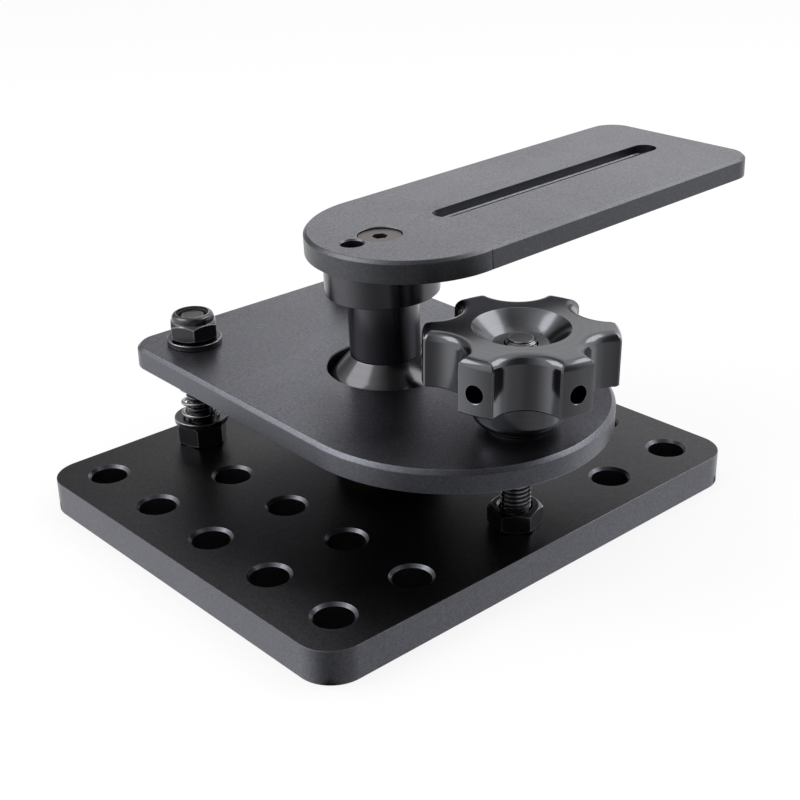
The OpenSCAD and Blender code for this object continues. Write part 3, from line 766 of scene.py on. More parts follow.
def steel(name, colour, bright, roughness):
    """Blackened steel, rubbed bright along its edges."""
    material, tree, shader, place, own = new_material(name)
    rings = effect(tree, "lines", own, Line_Width=0.3 * MM)
    marks = effect(tree, "handling", place)
    edge = effect(tree, "edge", place, Width=0.6 * MM, Breakup=0.45)
    dark, light = (scaled(colour, shade) for shade in STEEL_SHADES)
    face = mixed(tree, marks.outputs["Smudge"], dark, light)
    tree.links.new(mixed(tree, edge.outputs["Mask"], face, bright), shader.inputs["Base Color"])
    glossed(tree, shader, marks, roughness, STEEL_GLOSS)
    bumped(tree, shader, rings.outputs["Height"], STEEL_DEPTH)
    return material


def nylon(name, colour, roughness):
    """Dull plastic with a faint grain, rougher where it is lighter."""
    material, tree, shader, place, _ = new_material(name, metallic=0.0)
    grain = effect(tree, "grain", place, Grain_Size=0.25 * MM)
    dark, light = (scaled(colour, shade) for shade in NYLON_SHADES)
    tree.links.new(mixed(tree, grain.outputs["Mask"], dark, light), shader.inputs["Base Color"])
    tree.links.new(ranged(tree, grain.outputs["Mask"], *roughness), shader.inputs["Roughness"])
    bumped(tree, shader, grain.outputs["Height"], NYLON_DEPTH)
    return material


# Colours are a metal's reflectance: on the face and the sides where both are given, then where worn. The
# base's face colour and the seat ring's colours are darkened further as painted shade.
# The base's top is painted in shade: its face colour is far darker than its sides, for the clamp plate and
# the bar that hang over it.
BASE_BLACK = anodised(
    "base_black",
    face=(0.046, 0.046, 0.050),
    side=(0.13, 0.132, 0.152),
    worn=(0.26, 0.26, 0.28),
    roughness=0.32,
)
CLAMP_BLACK = anodised(
    "clamp_black",
    face=(0.145, 0.147, 0.168),
    side=(0.13, 0.133, 0.152),
    worn=(0.3, 0.3, 0.33),
    roughness=0.34,
)
BAR_BLACK = anodised(
    "bar_black",
    face=(0.165, 0.166, 0.187),
    side=(0.10, 0.102, 0.112),
    worn=(0.3, 0.3, 0.33),
    roughness=0.36,
)
POST_BLACK = turned_black("post_black", (0.10, 0.10, 0.11), worn=(0.3, 0.3, 0.32), roughness=0.22)
KNOB_BLACK = turned_black("knob_black", (0.135, 0.137, 0.148), worn=(0.34, 0.34, 0.37), roughness=0.16)
BALL_BLACK = turned_black("ball_black", (0.085, 0.085, 0.09), worn=(0.34, 0.34, 0.36), roughness=0.16)
# The seat ring's bronze and its rubbed edges are darkened to near black as painted shade, for the gap under
# the ball where it sits.
SEAT_BRONZE_IN_PAINTED_SHADE = steel("seat_bronze_painted_shade", (0.04, 0.03, 0.02), bright=(0.2, 0.15, 0.09), roughness=0.4)
SCREW_STEEL = steel("screw_black_oxide", (0.15, 0.138, 0.132), bright=(0.34, 0.24, 0.18), roughness=0.36)
HARDWARE_STEEL = steel("hardware_black_oxide", (0.095, 0.095, 0.1), bright=(0.62, 0.62, 0.65), roughness=0.21)
SPRING_STEEL = steel("spring_wire", (0.34, 0.34, 0.35), bright=(0.55, 0.55, 0.56), roughness=0.18)
DARK_NYLON = nylon("dark_nylon", (0.03, 0.03, 0.03), roughness=(0.45, 0.6))


# Base plate and what is fixed to it
def base_plate():
    half_w = BASE_W / 2 - BASE_CORNER_R
    half_l = BASE_L / 2 - BASE_CORNER_R
    corners = ((half_w, half_l, 0), (-half_w, half_l, 90), (-half_w, -half_l, 180), (half_w, -half_l, 270))
    points = []
    for x, y, start in corners:
        points += arc((x, y), BASE_CORNER_R, start, start + 90, CORNER_STEPS)
    piece = extruded("base_plate_finished", points, BASE_T, bevel=0)
    tools = []
    # The grid leaves out the two middle columns, and the rear row of the columns beside them
    for column in (0, 1, COLUMNS - 2, COLUMNS - 1):
        outermost = column in (0, COLUMNS - 1)
        for row in range(ROWS if outermost else ROWS - 1):
            place = ((column - (COLUMNS - 1) / 2) * PITCH, (row - (ROWS - 1) / 2) * PITCH, 0)
            tools.append(moved(hole_tool(BASE_HOLE_R, BASE_T, BASE_HOLE_BEVEL), Matrix.Translation(place)))
    front = Matrix.Translation((0, FRONT_STUD_BASE_Y, 0))
    tools.append(moved(hole_tool(STUD_R + FRONT_HOLE_GAP, BASE_T), front))
    for side in SIDES:
        tools.append(moved(hole_tool(STUD_R + THREAD_GAP, BASE_T), rear_stud_frame(side)))
    tools.append(bore_tool(SEAT_POCKET_R, SEAT_Z, BASE_T + PAST, steps=96))
    combine(piece, joined(tools))
    fitted(piece, Matrix.Identity(4), BASE_BLACK, "base_plate")
    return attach(piece, "base")


def threaded_rod(name, foot, top):
    """A rod with a real helical thread: one turn of the thread's outline, screwed up the axis."""
    spare_turns = 4
    turns_below = 2.3
    turns = math.ceil((top - foot) / THREAD_PITCH) + spare_turns
    start = foot - turns_below * THREAD_PITCH
    piece = loop_of(name, [(r, 0, start + share * THREAD_PITCH) for r, share in THREAD_OUTLINE])
    edit(piece)
    mesh = bmesh.from_edit_mesh(piece.data)
    heights = {start, start + THREAD_PITCH}
    for edge in mesh.edges:
        ends = [min(abs(vertex.co.z - height) for height in heights) < MERGE for vertex in edge.verts]
        edge.select_set(all(ends))
    bmesh.update_edit_mesh(piece.data)
    bpy.ops.mesh.delete(type="EDGE_FACE")
    leave()
    screw = piece.modifiers.new("screw", "SCREW")
    screw.steps = THREAD_STEPS
    screw.render_steps = THREAD_STEPS
    screw.iterations = turns
    screw.screw_offset = THREAD_PITCH
    screw.use_merge_vertices = True
    screw.merge_threshold = MERGE
    bpy.ops.object.modifier_apply(modifier=screw.name)
    edit(piece)
    bpy.ops.mesh.select_all(action="SELECT")
    bpy.ops.mesh.remove_doubles(threshold=MERGE)
    for height, way in ((top, 1), (foot, -1)):
        bpy.ops.mesh.select_all(action="SELECT")
        bpy.ops.mesh.bisect(
            plane_co=(0, 0, height),
            plane_no=(0, 0, way),
            use_fill=True,
            clear_outer=True,
            threshold=MERGE / 10,
        )
    bpy.ops.mesh.select_all(action="SELECT")
    bpy.ops.mesh.normals_make_consistent(inside=False)
    leave()
    for vertex in piece.data.vertices:
        radius = vertex.co.to_2d().length
        from_end = min(vertex.co.z - foot, top - vertex.co.z)
        limit = STUD_R - max(0.0, STUD_END_BEVEL - from_end)
        if radius > limit:
            vertex.co.x *= limit / radius
            vertex.co.y *= limit / radius
    return piece


def hexagon(height):
    """Six-sided prism with its corners bevelled at both ends."""
    reach_r = NUT_AF / 2 / math.cos(math.radians(30)) + PAST
    rise = (reach_r - NUT_FACE_R) * math.tan(NUT_CHAMFER)
    piece = prism(NUT_AF, 0, height)
    # The primitive has a corner on +Y, and the nuts are turned from having one on +X
    moved(piece, Matrix.Rotation(math.radians(-90), 4, "Z") @ piece.matrix_world)
    edit(piece)
    bpy.ops.mesh.select_all(action="DESELECT")
    mesh = bmesh.from_edit_mesh(piece.data)
    for edge in mesh.edges:
        edge.select_set(abs(edge.verts[0].co.z - edge.verts[1].co.z) > height / 2)
    bmesh.update_edit_mesh(piece.data)
    bpy.ops.mesh.bevel(offset=EDGE_BREAK, segments=2, affect="EDGES")
    leave()
    cones = [
        (0, 0),
        (NUT_FACE_R, 0),
        (reach_r, rise),
        (reach_r, height - rise),
        (NUT_FACE_R, height),
        (0, height),
    ]
    return combine(piece, turned("cones_tool", eased(cones)), "INTERSECT")


def turn_of(degrees):
    """A turn about Z."""
    return Matrix.Rotation(math.radians(degrees), 4, "Z")


def plain_nut(name, height, bore_r):
    """A hexagon nut with a plain bore."""
    piece = hexagon(height)
    piece.name = name
    return combine(piece, hole_tool(bore_r, height, NUT_MOUTH_BEVEL))


def washer(name, radius, bore_r, height):
    """A flat washer with rounded edges."""
    section = [(bore_r, 0), (radius, 0), (radius, height), (bore_r, height)]
    return turned(name, eased(section, WASHER_ROUND))


def front_stud():
    """The stud that leans with the clamp plate, and its nut on the base plate."""
    foot = (FRONT_STUD_FOOT - CLAMP_Z + STUD_ROW * math.tan(CLAMP_LEAN)) / math.cos(CLAMP_LEAN)
    piece = threaded_rod("front_stud_threaded", foot, FRONT_STUD_REACH)
    fitted(piece, FRONT_STUD_FRAME, HARDWARE_STEEL, "front_stud")
    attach(piece, "base")
    nut = plain_nut("front_base_nut_finished", FRONT_NUT_H, TURNING_R)
    place = Matrix.Translation((0, FRONT_STUD_BASE_Y, BASE_T)) @ turn_of(FRONT_NUT_TURN)
    fitted(nut, place, HARDWARE_STEEL, "front_base_nut")
    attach(nut, "base")


def rear_stud(side):
    """One upright stud, its nut on the base plate, and the washer under its spring."""
    lowest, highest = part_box("rear_stud_" + side)
    piece = threaded_rod("rear_stud_threaded_" + side, lowest.z, highest.z)
    fitted(piece, rear_stud_frame(side), HARDWARE_STEEL, "rear_stud_" + side)
    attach(piece, "base")
    nut = plain_nut("rear_base_nut_finished_" + side, REAR_NUT_H, STUD_R + THREAD_GAP)
    place = rear_stud_frame(side, BASE_T) @ turn_of(REAR_NUT_TURN)
    fitted(nut, place, HARDWARE_STEEL, "rear_base_nut_" + side)
    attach(nut, "base")
    foot = washer("rear_spring_washer_finished_" + side, WASHER_R, STUD_R + WASHER_GAP, WASHER_T)
    place = rear_stud_frame(side, BASE_T + REAR_NUT_H)
    fitted(foot, place, HARDWARE_STEEL, "rear_spring_washer_" + side)
    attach(foot, "base")


def spring(side):
    """A compression spring with closed ends: rings of the wire along its helix."""
    lowest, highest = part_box("rear_spring_" + side)
    end_rise = 2 * WIRE_R
    open_coils = SPRING_COILS - 2 * SPRING_CLOSED
    rise = (highest.z - lowest.z - 2 * WIRE_R - 2 * SPRING_CLOSED * end_rise) / open_coils
    wire_angles = [k * FULL_TURN / WIRE_STEPS for k in range(WIRE_STEPS)]
    round_wire = [(WIRE_R * math.cos(a), WIRE_R * math.sin(a)) for a in wire_angles]
    rings = []
    for k in range(SPRING_COILS * SPRING_STEPS + 1):
        turn = k / SPRING_STEPS
        opened = min(max(turn - SPRING_CLOSED, 0), open_coils)
        slope = rise if 0 < opened < open_coils else end_rise
        angle = turn * FULL_TURN + SPRING_START
        out = Vector((math.cos(angle), math.sin(angle), 0))
        along = Vector((-out.y, out.x, slope / (FULL_TURN * SPRING_R))).normalized()
        up = out.cross(along)
        centre = SPRING_R * out + Vector((0, 0, WIRE_R + end_rise * (turn - opened) + rise * opened))
        rings.append([centre + x * out + y * up for x, y in round_wire])
    piece = filled("rear_spring_wire_" + side, rings)
    fitted(piece, rear_stud_frame(side, lowest.z), SPRING_STEEL, "rear_spring_" + side)
    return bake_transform(piece)


# Ball, its seat and the post
def ball_seat_ring():
    """The ring in the base plate's pocket, cupped to the ball."""
    top = SEAT_RIM_Z - SEAT_Z
    section = [(SEAT_BORE_R, 0), (SEAT_R, 0), (SEAT_R, top), (SEAT_BORE_R, top)]
    piece = turned("ball_seat_ring_finished", eased(section))
    combine(piece, ball_tool((0, 0, BALL_Z - SEAT_Z), segments=96, rings=64))
    place = Matrix.Translation((0, 0, SEAT_Z))
    fitted(piece, place, SEAT_BRONZE_IN_PAINTED_SHADE, "ball_seat_ring")
    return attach(piece, "ball_seat")


def ball():
    """The ball with its neck, bored from below for the screw's head and through for its shank."""
    mouth_z = -math.sqrt(BALL_R ** 2 - BALL_POCKET_R ** 2)
    mouth = math.degrees(math.atan2(mouth_z, BALL_POCKET_R))
    section = arc((0, 0), BALL_R, mouth, NECK_DEGREES, steps=56)
    section += [
        (POST_R, NECK_TOP),
        (BALL_BORE_R, NECK_TOP),
        (BALL_BORE_R, BALL_POCKET_TOP),
        (BALL_POCKET_R, BALL_POCKET_TOP),
    ]
    piece = turned("ball_finished", section, steps=128)
    fitted(piece, HEAD_FRAME, BALL_BLACK, "ball")
    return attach(piece, "head")


def post():
    """The round post and its flange, tapped at both ends."""
    section = [
        (0, NECK_TOP),
        (POST_R, NECK_TOP),
        (POST_R, FLANGE_Z),
        (FLANGE_R, FLANGE_Z),
        (FLANGE_R, FLANGE_TOP),
        (0, FLANGE_TOP),
    ]
    piece = turned("post_finished", eased(section, POST_EDGE), steps=128)
    for radius, foot, top in (
        (BAR_SCREW_R + THREAD_GAP, FLANGE_TOP - BAR_SCREW_TAP_DEPTH, FLANGE_TOP + PAST),
        (BALL_SCREW_R + THREAD_GAP, NECK_TOP - PAST, NECK_TOP + BALL_SCREW_TAP_DEPTH),
    ):
        combine(piece, bore_tool(radius, foot, top, steps=48))
    fitted(piece, HEAD_FRAME, POST_BLACK, "post")
    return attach(piece, "head")


def bar_screw():
    """The countersunk screw with a hexagon socket."""
    cone_top = BAR_SCREW_TOP - BAR_SCREW_LIP
    cone_h = BAR_SCREW_HEAD_R - BAR_SCREW_R
    section = [
        (0, BAR_SCREW_FOOT),
        (BAR_SCREW_R, BAR_SCREW_FOOT),
        (BAR_SCREW_R, cone_top - cone_h),
        (BAR_SCREW_HEAD_R, cone_top),
        (BAR_SCREW_HEAD_R, BAR_SCREW_TOP),
        (0, BAR_SCREW_TOP),
    ]
    piece = turned("bar_screw_finished", eased(section, FINE_EDGE))
    combine(piece, prism(KEY_AF, BAR_SCREW_TOP - KEY_DEPTH, BAR_SCREW_TOP + PAST))
    fitted(piece, BAR_FRAME, SCREW_STEEL, "bar_screw")
    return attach(piece, "head")


def ball_screw():
    """Gives the hidden screw under the ball its finish. It keeps the mesh of its CAD node."""
    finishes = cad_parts["ball_screw"].data.materials
    finishes.clear()
    finishes.append(SCREW_STEEL)


# Camera bar
def slot_tool(foot_width, top_width, foot, top):
    """Cutter for the slot, of one width at its foot and another at its top."""
    rings = []
    for width, z in ((foot_width, foot), (top_width, top)):
        half = width / 2
        near = SLOT_START + GROOVE_W / 2
        far = SLOT_END - GROOVE_W / 2
        outline = arc((near, 0), half, 90, 270, steps=32) + arc((far, 0), half, -90, 90, steps=32)
        rings.append([(x, y, z) for x, y in outline])
    return filled("slot_tool", rings)


def camera_bar():
    """The bar with its round end, its stepped slot, the screw's seat and the pin hole."""
    length = BAR_REACH - BAR_ROUND_X
    piece = tongue("camera_bar_finished", length, BAR_W, BAR_ROUND_R, BAR_CORNER_R, BAR_T, BAR_BEVEL)
    moved(piece, Matrix.Translation((BAR_ROUND_X, 0, 0)))
    ledge_z = BAR_T - GROOVE_DEPTH
    wall_z = BAR_T - COUNTERSINK_WALL
    hole_r = BAR_SCREW_R + BAR_SCREW_GAP
    countersink = [
        (0, -PAST),
        (hole_r, -PAST),
        (hole_r, wall_z - COUNTERSINK_R + hole_r),
        (COUNTERSINK_R, wall_z),
        (COUNTERSINK_R, BAR_T - EDGE_BREAK),
        (COUNTERSINK_R + EDGE_BREAK + PAST, BAR_T + PAST),
        (0, BAR_T + PAST),
    ]
    tools = [
        turned("countersink_tool", countersink),
        moved(hole_tool(PIN_HOLE_R, BAR_T, PIN_HOLE_BEVEL), Matrix.Translation((-PIN_HOLE_X, 0, 0))),
        slot_tool(SLOT_W, SLOT_W, -PAST, ledge_z),
        slot_tool(SLOT_W, SLOT_W + 2 * LEDGE_BEVEL, ledge_z - LEDGE_BEVEL, ledge_z),
        slot_tool(GROOVE_W, GROOVE_W, ledge_z, BAR_T + PAST),
    ]
    # The mark of the tool where the round end runs into each side
    mark_x = BAR_ROUND_X + math.sqrt(BAR_ROUND_R ** 2 - (BAR_W / 2) ** 2)
    for y in (-BAR_W / 2, BAR_W / 2):
        bpy.ops.object.select_all(action="DESELECT")
        bpy.ops.mesh.primitive_cylinder_add(
            vertices=24,
            radius=TOOL_MARK_R,
            depth=3 * BAR_T,
            location=(mark_x, y, 0),
        )
        tools.append(bpy.context.object)
    for tool in tools:
        combine(piece, tool)
    fitted(piece, BAR_FRAME, BAR_BLACK, "camera_bar")
    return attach(piece, "bar")


# Clamp plate and what turns on it
def clamp_plate():
    """The plate with the ball's upper seat in its neck opening, and the washer under the knob."""
    length = BASE_L / 2 / math.cos(CLAMP_LEAN) + CLAMP_FRONT
    piece = tongue("clamp_plate_finished", length, CLAMP_W, CLAMP_W / 2, CLAMP_CORNER_R, CLAMP_T, CLAMP_BEVEL)
    moved(piece, Matrix.Translation((0, -CLAMP_FRONT, -CLAMP_T)) @ turn_of(90))
    places = [(0, FRONT_STUD_Y)] + [(way * STUD_SIDE, REAR_STUD_PLATE_Y) for way in SIDES.values()]
    for x, y in places:
        combine(piece, moved(hole_tool(PLATE_HOLE_R, CLAMP_T), Matrix.Translation((x, y, -CLAMP_T))))
    opening = hole_tool(NECK_OPENING_R, CLAMP_T, NECK_OPENING_BEVEL)
    combine(piece, moved(opening, Matrix.Translation((0, 0, -CLAMP_T))))
    centre = CLAMP_FRAME.inverted() @ Vector((0, 0, BALL_Z))
    combine(piece, ball_tool(centre, segments=128, rings=96))
    fitted(piece, CLAMP_FRAME, CLAMP_BLACK, "clamp_plate")
    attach(piece, "plate")
    thrust = washer("knob_thrust_washer_finished", THRUST_WASHER_R, TURNING_R, THRUST_WASHER_T)
    place = FRONT_STUD_FRAME @ Matrix.Translation((0, 0, THRUST_WASHER_Z))
    fitted(thrust, place, HARDWARE_STEEL, "knob_thrust_washer")
    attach(thrust, "plate")


def rear_top_washer(side):
    """The washer between the clamp plate and a rear lock nut."""
    place = CLAMP_FRAME @ Matrix.Translation((SIDES[side] * STUD_SIDE, REAR_STUD_PLATE_Y, FACE_GAP))
    piece = washer("rear_top_washer_finished_" + side, WASHER_R, TOP_WASHER_BORE_R, WASHER_T)
    fitted(piece, place, HARDWARE_STEEL, "rear_top_washer_" + side)
    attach(piece, "rear_washers")


def rear_lock_nut(side):
    """The lock nut on one rear stud, with a round collar over its plastic ring."""
    place = rear_stud_frame(side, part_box("rear_lock_nut_" + side)[0].z)
    collar = [(0, COLLAR_FOOT), (COLLAR_R, COLLAR_FOOT)]
    collar += arc((COLLAR_MOUTH_R, LOCK_NUT_H - COLLAR_ROUND), COLLAR_ROUND, 0, 90, steps=10)
    collar += [(0, LOCK_NUT_H)]
    nut = hexagon(LOCK_HEX_H)
    nut.name = "rear_lock_nut_finished_" + side
    combine(nut, turned("collar_tool", collar), "UNION")
    bore = [
        (0, -PAST),
        (TURNING_R, -PAST),
        (TURNING_R, INSERT_GROOVE_FOOT),
        (INSERT_GROOVE_R, INSERT_GROOVE_FOOT),
        (INSERT_GROOVE_R, INSERT_GROOVE_ROOF),
        (COLLAR_MOUTH_R, INSERT_GROOVE_ROOF),
        (COLLAR_MOUTH_R, LOCK_NUT_H + PAST),
        (0, LOCK_NUT_H + PAST),
    ]
    combine(nut, turned("nut_bore_tool", bore, steps=64))
    turned_place = place @ turn_of(LOCK_NUT_TURN)
    fitted(nut, turned_place, HARDWARE_STEEL, "rear_lock_nut_" + side)
    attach(nut, "rear_nut_" + side)
    section = [
        (TURNING_R, INSERT_GROOVE_FOOT + INSERT_GAP),
        (INSERT_GROOVE_R - INSERT_GAP, INSERT_GROOVE_FOOT + INSERT_GAP),
        (INSERT_GROOVE_R - INSERT_GAP, INSERT_GROOVE_ROOF - INSERT_GAP),
        (TURNING_R, INSERT_GROOVE_ROOF - INSERT_GAP),
    ]
    ring = turned("rear_lock_nut_insert_finished_" + side, eased(section, FINE_EDGE), steps=64)
    fitted(ring, place, DARK_NYLON, "rear_lock_nut_" + side + "_insert")
    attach(ring, "rear_nut_" + side)


# Knob
def lobed_ring(inset, height, lobe_steps=18, scallop_steps=22):
    """The knob's outline, drawn in by the inset: lobes on a circle, and scallops between them."""
    lobe_r = KNOB_R - inset
    scallop_r = KNOB_SCALLOP_R + inset
    # Where a lobe's circle meets a scallop's, seen from the knob's axis and from the scallop's
    cosine = (lobe_r ** 2 + KNOB_SCALLOP_C ** 2 - scallop_r ** 2) / (2 * lobe_r * KNOB_SCALLOP_C)
    half_scallop = math.acos(cosine)
    edge_y = lobe_r * math.sin(half_scallop)
    edge_x = lobe_r * math.cos(half_scallop)
    open_angle = math.atan2(edge_y, KNOB_SCALLOP_C - edge_x)
    step = FULL_TURN / KNOB_LOBES
    half_lobe = step / 2 - half_scallop
    # The corner between the two is cut off by a short straight
    corner = KNOB_CORNER / lobe_r
    inner_corner = KNOB_CORNER / scallop_r
    points = []
    for k in range(KNOB_LOBES):
        middle = KNOB_LOBE_ANGLE + k * step
        for i in range(lobe_steps + 1):
            a = middle + (half_lobe - corner) * (2 * i / lobe_steps - 1)
            points.append((lobe_r * math.cos(a), lobe_r * math.sin(a), height))
        axis = middle + step / 2
        centre = Vector((KNOB_SCALLOP_C * math.cos(axis), KNOB_SCALLOP_C * math.sin(axis)))
        for i in range(scallop_steps + 1):
            a = axis + math.pi + (open_angle - inner_corner) * (1 - 2 * i / scallop_steps)
            points.append((centre.x + scallop_r * math.cos(a), centre.y + scallop_r * math.sin(a), height))
    return points


def round_ring(radius, height, like):
    """A circle whose points lie in the same directions as those of another ring."""
    angles = [math.atan2(y, x) for x, y, z in like]
    return [(radius * math.cos(a), radius * math.sin(a), height) for a in angles]


def clamp_knob():
    """The knob: one skin from its bore over the dish, the lobes and the hub, and the tommy holes."""
    wall = lobed_ring(0, 0)
    dish = list(DISH_FOOT)
    for share in (0.25, 0.5, 0.75):
        dish.append((DISH_FLOOR_R + (DISH_R - DISH_FLOOR_R) * share, DISH_DEPTH * (1 - share)))
    dish += DISH_RIM
    inside = [(TURNING_R, 0), (TURNING_R, KNOB_TOP - DISH_DEPTH)]
    inside += [(radius, KNOB_TOP - depth) for radius, depth in dish]
    rings = [round_ring(radius, height, wall) for radius, height in inside]
    flat_top_edge = KNOB_ROUND + 0.25 * MM
    rings.append(lobed_ring(flat_top_edge, KNOB_TOP))
    for k in range(KNOB_ROUND_STEPS + 1):
        angle = math.radians(90 * (1 - k / KNOB_ROUND_STEPS))
        inset = KNOB_ROUND * (1 - math.cos(angle))
        rings.append(lobed_ring(inset, KNOB_TOP - KNOB_ROUND * (1 - math.sin(angle))))
    for share in (0.35, 0.7):
        rings.append(lobed_ring(0, KNOB_TOP - KNOB_ROUND - share * (KNOB_HEAD_H - KNOB_ROUND)))
    rings.append(lobed_ring(0, KNOB_HUB_H + KNOB_UNDER_BEVEL))
    rings.append(lobed_ring(KNOB_UNDER_BEVEL, KNOB_HUB_H))
    hub = [(KNOB_HUB_R + KNOB_HUB_EASE, KNOB_HUB_H), (KNOB_HUB_R, KNOB_HUB_H - KNOB_HUB_EASE)]
    hub += arc((KNOB_HUB_R - KNOB_FOOT_ROUND, KNOB_FOOT_ROUND), KNOB_FOOT_ROUND, 0, -90, steps=10)
    hub += [(TURNING_R, 0)]
    rings += [round_ring(radius, height, wall) for radius, height in hub]
    piece = wrapped("clamp_knob_finished", rings)
    section = [
        (0, KNOB_R - TOMMY_DEPTH),
        (TOMMY_R, KNOB_R - TOMMY_DEPTH),
        (TOMMY_R, KNOB_R - EDGE_BREAK),
        (TOMMY_R + PAST, KNOB_R - EDGE_BREAK + PAST),
        (0, KNOB_R + PAST),
    ]
    lying = Matrix.Translation((0, 0, TOMMY_Z)) @ Matrix.Rotation(math.radians(90), 4, "Y")
    for k in range(KNOB_LOBES):
        to_lobe = Matrix.Rotation(KNOB_LOBE_ANGLE + k * FULL_TURN / KNOB_LOBES, 4, "Z")
        combine(piece, moved(turned("tommy_tool", section, steps=40), to_lobe @ lying))
    place = FRONT_STUD_FRAME @ Matrix.Translation((0, 0, KNOB_Z))
    fitted(piece, place, KNOB_BLACK, "clamp_knob")
    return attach(piece, "knob")


base_plate()
front_stud()
for side in SIDES:
    rear_stud(side)
    spring(side)
    rear_top_washer(side)
    rear_lock_nut(side)
ball_seat_ring()
ball()
post()
ball_screw()
bar_screw()
camera_bar()
clamp_plate()
clamp_knob()


# Floor, background, lights and camera. Watts, metres and degrees
FLOOR_SIZE = 12
FLOOR_Z = -0.05 * MM
FLOOR_GREY = 0.97
FLOOR_OWN_LIGHT = 0.8
# Height and grey of the black card of painted shade under the base plate
SHADE_CARD_Z = -1 * MM
SHADE_CARD_GREY = 0.01
ROOM_FILL = 0.84
LAMP_WIDTH = 0.5
LAMP_HEIGHT = 0.45
LAMP_TARGET = (0, 0, 0.04)
CAMERA_PLACE = (-0.23876, -0.27418, 0.19663)
CAMERA_AZIMUTH = -41.572
CAMERA_ELEVATION = 24.758
CAMERA_ROLL = -1.359
LENS_MM = 63.02

# How bright the white studio is as the metal shows it, as (direction from +X in degrees, brightness):
# of the floor, of the room above it, and of the ceiling. The first two are dark on the camera's side
FLOOR_SHOWN = (
    (-180, 0.5),
    (-165, 0.3),
    (-150, 0.22),
    (-132, 0.2),
    (-110, 0.28),
    (-76, 0.35),
    (-60, 0.5),
    (-48, 0.5),
    (-38, 0.9),
    (-25, 1.0),
    (148, 1.0),
    (160, 0.85),
    (180, 0.5),
)
ROOM_SHOWN = (
    (-180, 0.9),
    (-160, 0.5),
    (-145, 0.3),
    (-125, 0.1),
    (-100, 0.08),
    (-74, 0.15),
    (-55, 0.6),
    (-46, 0.9),
    (-30, 1.0),
    (53, 1.0),
    (58, 0.55),
    (64, 0.3),
    (95, 0.35),
    (112, 1.0),
    (165, 1.0),
    (180, 0.9),
)
CEILING_SHOWN = (0.5, 0.5, 0.5)


def matt(name, grey):
    """A matt grey material, its tree and its shader."""
    material = bpy.data.materials.new(name)
    material.use_nodes = True
    tree = material.node_tree
    shader = tree.nodes["Principled BSDF"]
    shader.inputs["Base Color"].default_value = (grey, grey, grey, 1)
    shader.inputs["Roughness"].default_value = 1.0
    shader.inputs["Specular IOR Level"].default_value = 0.0
    return material, tree, shader


def seen_directly(tree):
    """The light path, and a value that is 1 for camera and transmission rays."""
    path = tree.nodes.new("ShaderNodeLightPath")
    camera_ray = path.outputs["Is Camera Ray"]
    through_glass = path.outputs["Is Transmission Ray"]
    return path, math_node(tree, "ADD", camera_ray, through_glass, clamp=True)


def level_sheet(name, width, length, height, material):
    """A flat sheet of the stage, level and centred on the object."""
    bpy.ops.object.select_all(action="DESELECT")
    bpy.ops.mesh.primitive_plane_add(size=1, location=(0, 0, height))
    sheet = bpy.context.object
    sheet.name = name
    sheet.scale = (width, length, 1)
    sheet.data.materials.append(material)
    return sheet


def floor():
    """White floor that keeps the object's shadow."""
    material, tree, shader = matt("white_floor", FLOOR_GREY)
    _, direct = seen_directly(tree)
    white = add(tree, "ShaderNodeEmission", Color=(1, 1, 1, 1))
    mix = tree.nodes.new("ShaderNodeMixShader")
    tree.links.new(math_node(tree, "MULTIPLY", direct, FLOOR_OWN_LIGHT), mix.inputs["Fac"])
    tree.links.new(shader.outputs[0], mix.inputs[1])
    tree.links.new(white.outputs[0], mix.inputs[2])
    tree.links.new(mix.outputs[0], tree.nodes["Material Output"].inputs["Surface"])
    plane = level_sheet("floor", FLOOR_SIZE, FLOOR_SIZE, FLOOR_Z, material)
    plane.visible_glossy = False


def around(tree, turn, stops):
    """Brightness by direction, from a table of stops."""
    ramp = tree.nodes.new("ShaderNodeValToRGB")
    points = ramp.color_ramp.elements
    while len(points) < len(stops):
        points.new(0.5)
    for point, (degrees, level) in zip(points, stops):
        point.position = (degrees + 180) / 360
        point.color = (level, level, level, 1)
    tree.links.new(turn, ramp.inputs["Fac"])
    return ramp.outputs["Color"]


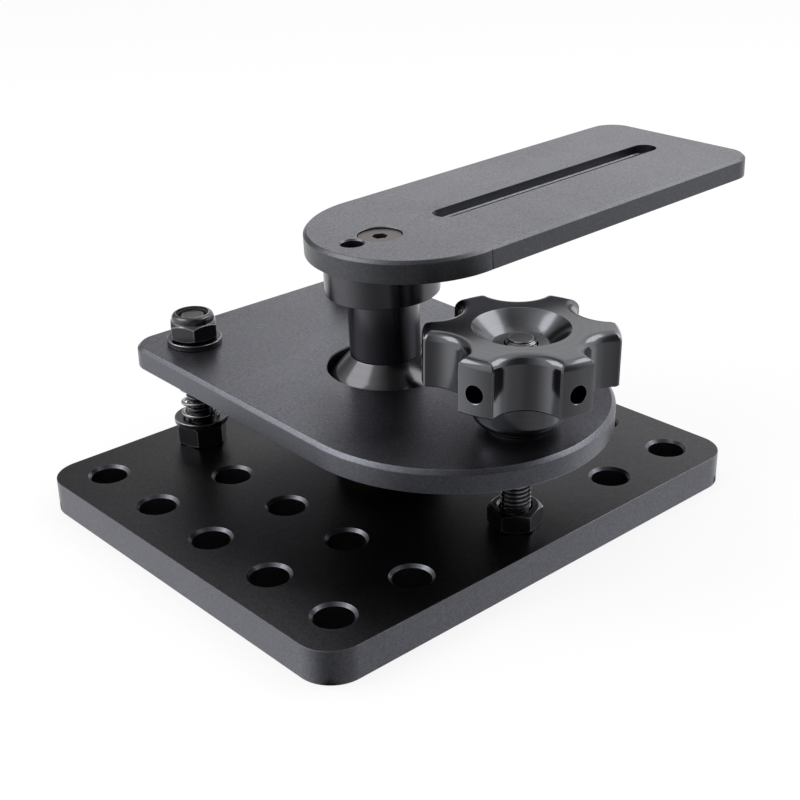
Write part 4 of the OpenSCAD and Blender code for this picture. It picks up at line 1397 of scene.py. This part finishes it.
def backdrop():
    """White world for the camera, the same studio as the metal shows it, and an even fill."""
    world = bpy.data.worlds.new("studio")
    bpy.context.scene.world = world
    world.use_nodes = True
    tree = world.node_tree
    shader = tree.nodes["Background"]
    shader.inputs["Color"].default_value = (1, 1, 1, 1)
    path, direct = seen_directly(tree)
    split = add(tree, "ShaderNodeSeparateXYZ")
    tree.links.new(add(tree, "ShaderNodeTexCoord").outputs["Generated"], split.inputs[0])
    angle = math_node(tree, "ARCTAN2", split.outputs["Y"], split.outputs["X"])
    turn = math_node(tree, "ADD", math_node(tree, "DIVIDE", angle, FULL_TURN), 0.5)
    above = add(tree, "ShaderNodeMapRange", From_Min=-0.08, From_Max=0.12)
    tree.links.new(split.outputs["Z"], above.inputs["Value"])
    below = around(tree, turn, FLOOR_SHOWN)
    level = mixed(tree, above.outputs["Result"], below, around(tree, turn, ROOM_SHOWN))
    high = add(tree, "ShaderNodeMapRange", From_Min=0.9, From_Max=0.99)
    tree.links.new(split.outputs["Z"], high.inputs["Value"])
    seen = mixed(tree, high.outputs["Result"], level, CEILING_SHOWN)
    glossy = math_node(tree, "MULTIPLY", path.outputs["Is Glossy Ray"], seen)
    plain = math_node(tree, "SUBTRACT", 1.0, path.outputs["Is Glossy Ray"])
    fill = math_node(tree, "MULTIPLY", plain, ranged(tree, direct, ROOM_FILL, 1.0))
    tree.links.new(math_node(tree, "ADD", fill, glossy), shader.inputs["Strength"])


def shade_under_base():
    """A black card under the base plate, which only the metal's reflections show: painted shade, standing for
    the floor under the base in the base's own shadow.
    """
    material, _, _ = matt("painted_shade_card", SHADE_CARD_GREY)
    card = level_sheet("painted_shade_card_under_base", BASE_W, BASE_L, SHADE_CARD_Z, material)
    card.visible_camera = False
    card.visible_diffuse = False
    card.visible_transmission = False
    card.visible_shadow = False


def softbox(name, place, watts):
    """A rectangular lamp that faces the object."""
    lamp = bpy.data.lights.new(name, "AREA")
    lamp.shape = "RECTANGLE"
    lamp.size = LAMP_WIDTH
    lamp.size_y = LAMP_HEIGHT
    lamp.energy = watts
    holder = bpy.data.objects.new(name, lamp)
    bpy.context.collection.objects.link(holder)
    holder.location = place
    holder.rotation_mode = "QUATERNION"
    holder.rotation_quaternion = (Vector(LAMP_TARGET) - Vector(place)).to_track_quat("-Z", "Y")


def camera():
    """The camera at the photograph's viewing angle."""
    azimuth = math.radians(CAMERA_AZIMUTH)
    elevation = math.radians(CAMERA_ELEVATION)
    roll = math.radians(CAMERA_ROLL)
    back = Vector((
        math.sin(azimuth) * math.cos(elevation),
        -math.cos(azimuth) * math.cos(elevation),
        math.sin(elevation),
    ))
    lens = bpy.data.cameras.new("camera")
    lens.lens = LENS_MM
    lens.sensor_width = 36
    holder = bpy.data.objects.new("camera", lens)
    bpy.context.collection.objects.link(holder)
    holder.location = CAMERA_PLACE
    holder.rotation_mode = "QUATERNION"
    holder.rotation_quaternion = (-back).to_track_quat("-Z", "Y") @ Quaternion((0, 0, 1), roll)
    lens.clip_start = 0.01
    lens.clip_end = 20
    bpy.context.scene.camera = holder


floor()
backdrop()
shade_under_base()
softbox("left_softbox", place=(-0.40, 0.36, 0.62), watts=1.7)
softbox("right_softbox", place=(0.55, -0.24, 0.58), watts=1.6)
camera()
bpy.context.scene.view_settings.view_transform = "Standard"
